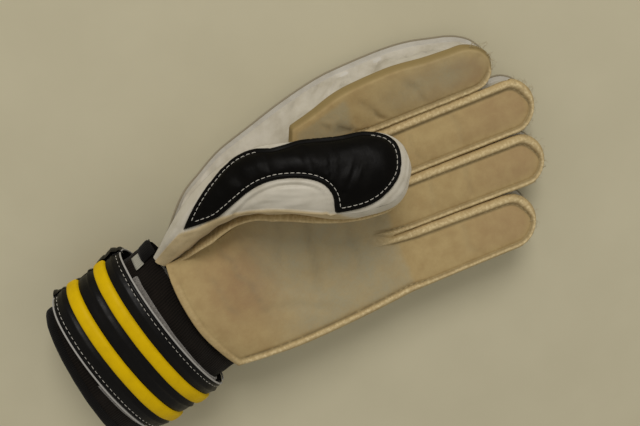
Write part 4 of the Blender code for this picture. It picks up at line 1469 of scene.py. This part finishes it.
def cuff_point(along, degrees):
    """A point round the cuff and its outward direction."""
    a = math.radians(degrees)
    up = float(smooth(math.sin(a), -0.3, 0.3))
    neck = 0.72 * up + 0.78 * (1 - up)
    flat = neck + (1.0 - neck) * float(smooth(along, 1.5, 9.0))
    point = WRIST + AHEAD * along + SIDE * CUFF_WIDE * math.cos(a)
    point = point + np.array([0.0, 0.0, CUFF_HIGH * flat * math.sin(a)])
    normal = SIDE * math.cos(a) * CUFF_HIGH + np.array([0.0, 0.0, CUFF_WIDE * math.sin(a)])
    return point, normal / np.linalg.norm(normal)


def tapered(degrees, taper):
    """Width of the strap against its middle's: less towards its two ends."""
    return 1.0 - taper * float(smooth(abs(degrees - 90.0), 55.0, 92.0))


def bunch(along, degrees):
    """How far the base strap, round the back of the wrist, bunches outward on the thumb side."""
    ridges = 3.6 * math.exp(-(((along - 19.0) / 9.0) ** 2)) + 3.6 * math.exp(-(((along - 58.0) / 4.0) ** 2))
    return ridges * math.exp(-(((degrees - 346.0) / 13.0) ** 2))


def wrap(name, knots, angles, material, step=3.0, skew=0.0, wave=0.0, closed=False, taper=0.0, flip=False):
    """A strip round the cuff whose section is (place along, height) knots."""
    count = int(abs(angles[1] - angles[0]) / step) + 1
    turns = np.linspace(*angles, count, endpoint=not closed)
    middle = 0.5 * (knots[0][0] + knots[-1][0])
    grid = []
    for along, out in knots:
        row = []
        for degrees in turns:
            round_x, round_y = math.cos(math.radians(degrees)), math.sin(math.radians(degrees))
            place = middle + (along - middle) * tapered(degrees, taper) - skew * round_x
            if closed:
                place += CUFF_FLARE * (1 - round_x) * float(smooth(along, STRAP_TO, CUFF_LENGTH))
            p, n = cuff_point(place, degrees)
            ripple = wave * noise.noise(Vector((along / 9.0, round_x * 4, round_y * 4)))
            extra = bunch(along, degrees) if name.startswith("base") else 0.0
            row.append(p + n * (out + ripple + extra))
        grid.append(row)
    return surface(name, grid, material, closed=closed, flip=flip)


def build_cuff():
    """The elastic sleeve with its lining and hem, and the pile band round it."""
    outside = [(a, 0.0) for a in np.linspace(-2.0, CUFF_LENGTH + 0.3, 40)]
    inside = [(a, -3.2) for a in np.linspace(CUFF_LENGTH + 0.3, 2.5, 20)]
    sleeve = wrap("cuff_knit", outside, (0, 360), ELASTIC, closed=True, wave=0.9)
    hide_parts("cuff_sleeve")
    inner = wrap("cuff_inside", inside, (0, 360), LINING, closed=True, wave=0.5)
    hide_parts("cuff_lining")
    hem_knots = [
        (CUFF_LENGTH - 0.6, 0.2), (CUFF_LENGTH, 1.0), (CUFF_LENGTH + 1.2, 1.5), (CUFF_LENGTH + 2.6, 1.3),
        (CUFF_LENGTH + 3.6, 0.4), (CUFF_LENGTH + 3.9, -0.9), (CUFF_LENGTH + 3.6, -2.2),
        (CUFF_LENGTH + 2.4, -3.1), (CUFF_LENGTH + 0.3, -3.3),
    ]
    hem = wrap("cuff_hem_roll", hem_knots, (0, 360), HEM, closed=True, wave=0.5)
    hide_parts("cuff_hem")
    for piece in (sleeve, inner, hem):
        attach(piece, "hand")

    front, rear = STRAP_FROM - 0.5, STRAP_TO
    knots = [(front, 0.1), (front + 0.3, 1.2), (front + 1.2, 1.5)]
    knots += [(a, 1.5) for a in np.linspace(front + 4, rear - 4, 10)]
    knots += [(rear - 1.2, 1.5), (rear - 0.3, 1.2), (rear, 0.1)]
    band = wrap("loop_pile", knots, (38, 172), PILE, skew=1.7, wave=0.2)
    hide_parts("loop_band")
    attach(band, "hand")
    knots = [
        (STRAP_TO - 2.0, 0.1), (STRAP_TO - 1.0, 1.4), (STRAP_TO + 1.6, 1.5), (STRAP_TO + 2.4, 1.2),
        (STRAP_TO + 2.7, 0.1),
    ]
    end = wrap("loop_pile_end", knots, (92, 150), PILE, wave=0.2)
    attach(end, "hand")
    build_tabs()


def build_tabs():
    """The folded black tab and the blank label on the thumb side."""
    def slab(name, along, degrees, out, thick, material, lift):
        grid = []
        for u in np.linspace(0.0, 1.0, 9):
            row = []
            for v in np.linspace(0.0, 1.0, 9):
                place, turn = along[0] + (along[1] - along[0]) * u, degrees[0] + (
                    degrees[1] - degrees[0]
                ) * v
                p, n = cuff_point(place, turn)
                round_off = (1 - (2 * u - 1) ** 6) * (1 - (2 * v - 1) ** 6)
                row.append(p + n * (out + thick * round_off + lift * u))
            grid.append(row)
        return surface(name, grid, material)

    tab = slab("side_tab_fold", (5.2, -4.2), (13.0, 32.0), 1.2, 2.3, HEM, 2.6)
    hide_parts("side_tab")
    label = slab("label_blank", (9.6, 4.6), (15.0, 33.0), 0.9, 1.0, LABEL, 0.4)
    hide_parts("size_label")
    for piece in (tab, label):
        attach(piece, "hand")


# The strap's section: place along the cuff and height over its inner face.
STRAP_KNOTS = [
    (0.9, 0.0), (1.0, 1.2), (1.5, 1.9), (2.2, 2.0), (3.0, 1.75), (3.6, 2.0), (4.6, 2.5), (5.8, 3.0),
    (6.8, 2.5), (8.0, 2.35), (9.4, 2.1), (10.4, 2.0), (10.7, 2.9), (11.3, 3.6), (13.0, 4.0), (15.5, 4.0),
    (17.0, 3.6), (17.6, 2.9), (17.9, 2.0), (19.0, 2.1), (20.4, 2.5), (21.3, 3.1), (22.2, 2.6), (23.0, 2.4),
    (24.6, 2.45), (26.4, 2.4), (27.6, 2.1), (28.1, 2.0), (28.4, 2.9), (29.0, 3.6), (30.6, 4.0), (33.2, 4.0),
    (34.7, 3.6), (35.3, 2.9), (35.6, 2.0), (36.4, 2.1), (37.4, 2.5), (38.4, 3.05), (39.4, 2.6), (41.0, 2.5),
    (42.2, 2.05), (43.0, 1.75), (43.8, 2.0), (44.5, 1.9), (45.0, 1.2), (45.1, 0.0),
]
STRIPES = {"front": (10.4, 17.9), "rear": (28.1, 35.6)}


def build_strap():
    """The padded strap with its raised stripes, on both sides of the wrist."""
    for label, angles, body, node, taper in (
        ("strap", (1.5, 176.0), "strap", "strap_band", 0.03),
        ("base", (358.5, 179.0), "hand", "base_band", 0.0),
    ):
        flip = label == "base"
        black = []
        for a, h in STRAP_KNOTS:
            under_stripe = any(low < a < high for low, high in STRIPES.values())
            black.append((STRAP_FROM + a, STRAP_OUT + h - (0.9 if under_stripe else 0.0)))
        piece = wrap(
            f"{label}_padding", black, angles, STRAP_BLACK, step=1.6, wave=0.3, taper=taper, flip=flip
        )
        nodes = [node] + (["hook_pad"] if label == "strap" else [])
        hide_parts(*nodes)
        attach(piece, body)
        for side, (low, high) in STRIPES.items():
            knots = [(STRAP_FROM + a, STRAP_OUT + h) for a, h in STRAP_KNOTS if low <= a <= high]
            span = angles if label == "strap" else (338.0, 181.0)
            stripe = wrap(
                f"{label}_stripe_{side}_cover", knots, span, YELLOW, step=2.5, wave=0.35, taper=taper,
                flip=flip,
            )
            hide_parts(f"{label}_stripe_{side}")
            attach(stripe, body)
        turn = 1 if label == "strap" else -1
        parts, pipes = [], []
        for place, kind in ((3.0, "stitch"), (43.0, "stitch"), (0.45, "pipe"), (45.55, "pipe")):
            line, out = [], []
            lift = 1.75 if kind == "stitch" else 1.6
            middle = 0.5 * (STRAP_FROM + STRAP_TO)
            for degrees in np.arange(angles[0] + 2 * turn, angles[1] - turn, 2.0 * turn):
                p, n = cuff_point(middle + (STRAP_FROM + place - middle) * tapered(degrees, taper), degrees)
                line.append(p + n * (STRAP_OUT + lift))
                out.append(n)
            if kind == "stitch":
                parts += stitches(line, out, length=2.0, gap=1.1, radius=0.15, lift=0.1)
            else:
                pipes.append(tube(fine(line, 1.2), 0.48, sides=8))
        threads = join(f"{label}_stitches", parts, THREAD_WHITE)
        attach(threads, body)
        piping = join(f"{label}_piping", pipes, PIPING)
        if label == "strap":
            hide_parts("strap_edge_front", "strap_edge_rear")
        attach(piping, body)
        build_strap_inside(label, angles, body, taper, flip)


def build_strap_inside(label, angles, body, taper, flip):
    """The strap's plain inner face."""
    knots = [
        (STRAP_FROM + a, STRAP_OUT + h)
        for a, h in ((45.1, 0.0), (40.0, -0.1), (23.0, -0.1), (6.0, -0.1), (0.9, 0.0))
    ]
    piece = wrap(f"{label}_inside", knots, angles, HEM, step=2.5, wave=0.35, taper=taper, flip=flip)
    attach(piece, body)


# ---------------------------------------------------------------- loose fibres
def build_fibres():
    """Frayed threads at the fingertips' seams."""
    for name in NAMES:
        finger = FINGERS[name]
        parts = []
        for _ in range(46):
            turn = RANDOM.uniform(-1.4, 1.4)
            half = float(half_width(finger, finger["tip"]))
            x = finger["tip"] - 0.95 * half + 0.95 * half * math.cos(turn)
            y = float(middle_y(finger, x)) + half * math.sin(turn)
            z = float(palm_z(x, y)) - 1.5
            heading = np.array([math.cos(turn), math.sin(turn), RANDOM.uniform(-0.4, 0.4)])
            p = np.array([x, y, z]) - heading * 1.5
            path = [p.copy()]
            for _ in range(RANDOM.integers(4, 12)):
                heading = heading + RANDOM.normal(0, 0.5, 3)
                heading /= np.linalg.norm(heading)
                p = p + heading * RANDOM.uniform(0.4, 0.9)
                path.append(p.copy())
            parts.append(tube(fine(path, 0.5), 0.085, sides=4))
        piece = join(f"frayed_{name}", parts, FIBRE)
        bend_with(piece)


# ---------------------------------------------------------------- camera, floor and light
def build_stage():
    """The camera as in the photo, the floor, and the light."""
    scene = bpy.context.scene
    tilt, roll = math.radians(15.0), math.radians(22.0)
    back = Vector((0.0, math.sin(tilt), math.cos(tilt)))
    x = Vector((1.0, 0.0, 0.0))
    y = back.cross(x)
    right = x * math.cos(roll) - y * math.sin(roll)
    up = x * math.sin(roll) + y * math.cos(roll)
    spot = Vector((0.025, 0.005, 0.030)) + back * 0.5
    data = bpy.data.cameras.new("camera")
    data.lens, data.sensor_width = 52.0, 36.0
    data.clip_start = 0.01
    camera = bpy.data.objects.new("camera", data)
    camera.matrix_world = Matrix((
        (right.x, up.x, back.x, spot.x),
        (right.y, up.y, back.y, spot.y),
        (right.z, up.z, back.z, spot.z),
        (0.0, 0.0, 0.0, 1.0),
    ))
    scene.collection.objects.link(camera)
    scene.camera = camera

    s = Shade("floor", linear(198, 191, 164), 0.85)
    tone = s.mix(s.ramp(s.noise(60.0, 3.0), 0.3, 0.7), linear(202, 195, 168), linear(198, 191, 164))
    floor_material = s.finish(tone, None, ((s.noise(0.8, 3.0), 0.1, 0.1),))
    size = 3000.0
    corners = [(-size, -size, -0.6), (size, -size, -0.6), (size, size, -0.6), (-size, size, -0.6)]
    floor = make("floor", corners, [(0, 1, 2, 3)], floor_material)

    world = bpy.data.worlds.new("studio")
    world.use_nodes = True
    sky = world.node_tree.nodes["Background"].inputs
    sky["Color"].default_value = (*linear(236, 232, 222), 1.0)
    sky["Strength"].default_value = 0.5
    scene.world = world

    light = bpy.data.lights.new("key", "AREA")
    light.energy, light.size, light.color = 20.0, 0.9, (1.0, 0.97, 0.93)
    lamp = bpy.data.objects.new("key", light)
    lamp.location = Vector((0.03, 0.0, 0.03)) + right * 0.05 + up * 1.05 + back * 1.9
    lamp.rotation_euler = (Vector((0.03, 0.0, 0.02)) - lamp.location).to_track_quat("-Z", "Y").to_euler()
    scene.collection.objects.link(lamp)
    scene.view_settings.view_transform = "Standard"


def main():
    build_stage()
    build_front()
    build_back()
    build_gussets()
    build_knuckle_pad()
    build_thumb()
    build_cuff()
    build_strap()
    build_fibres()


main()
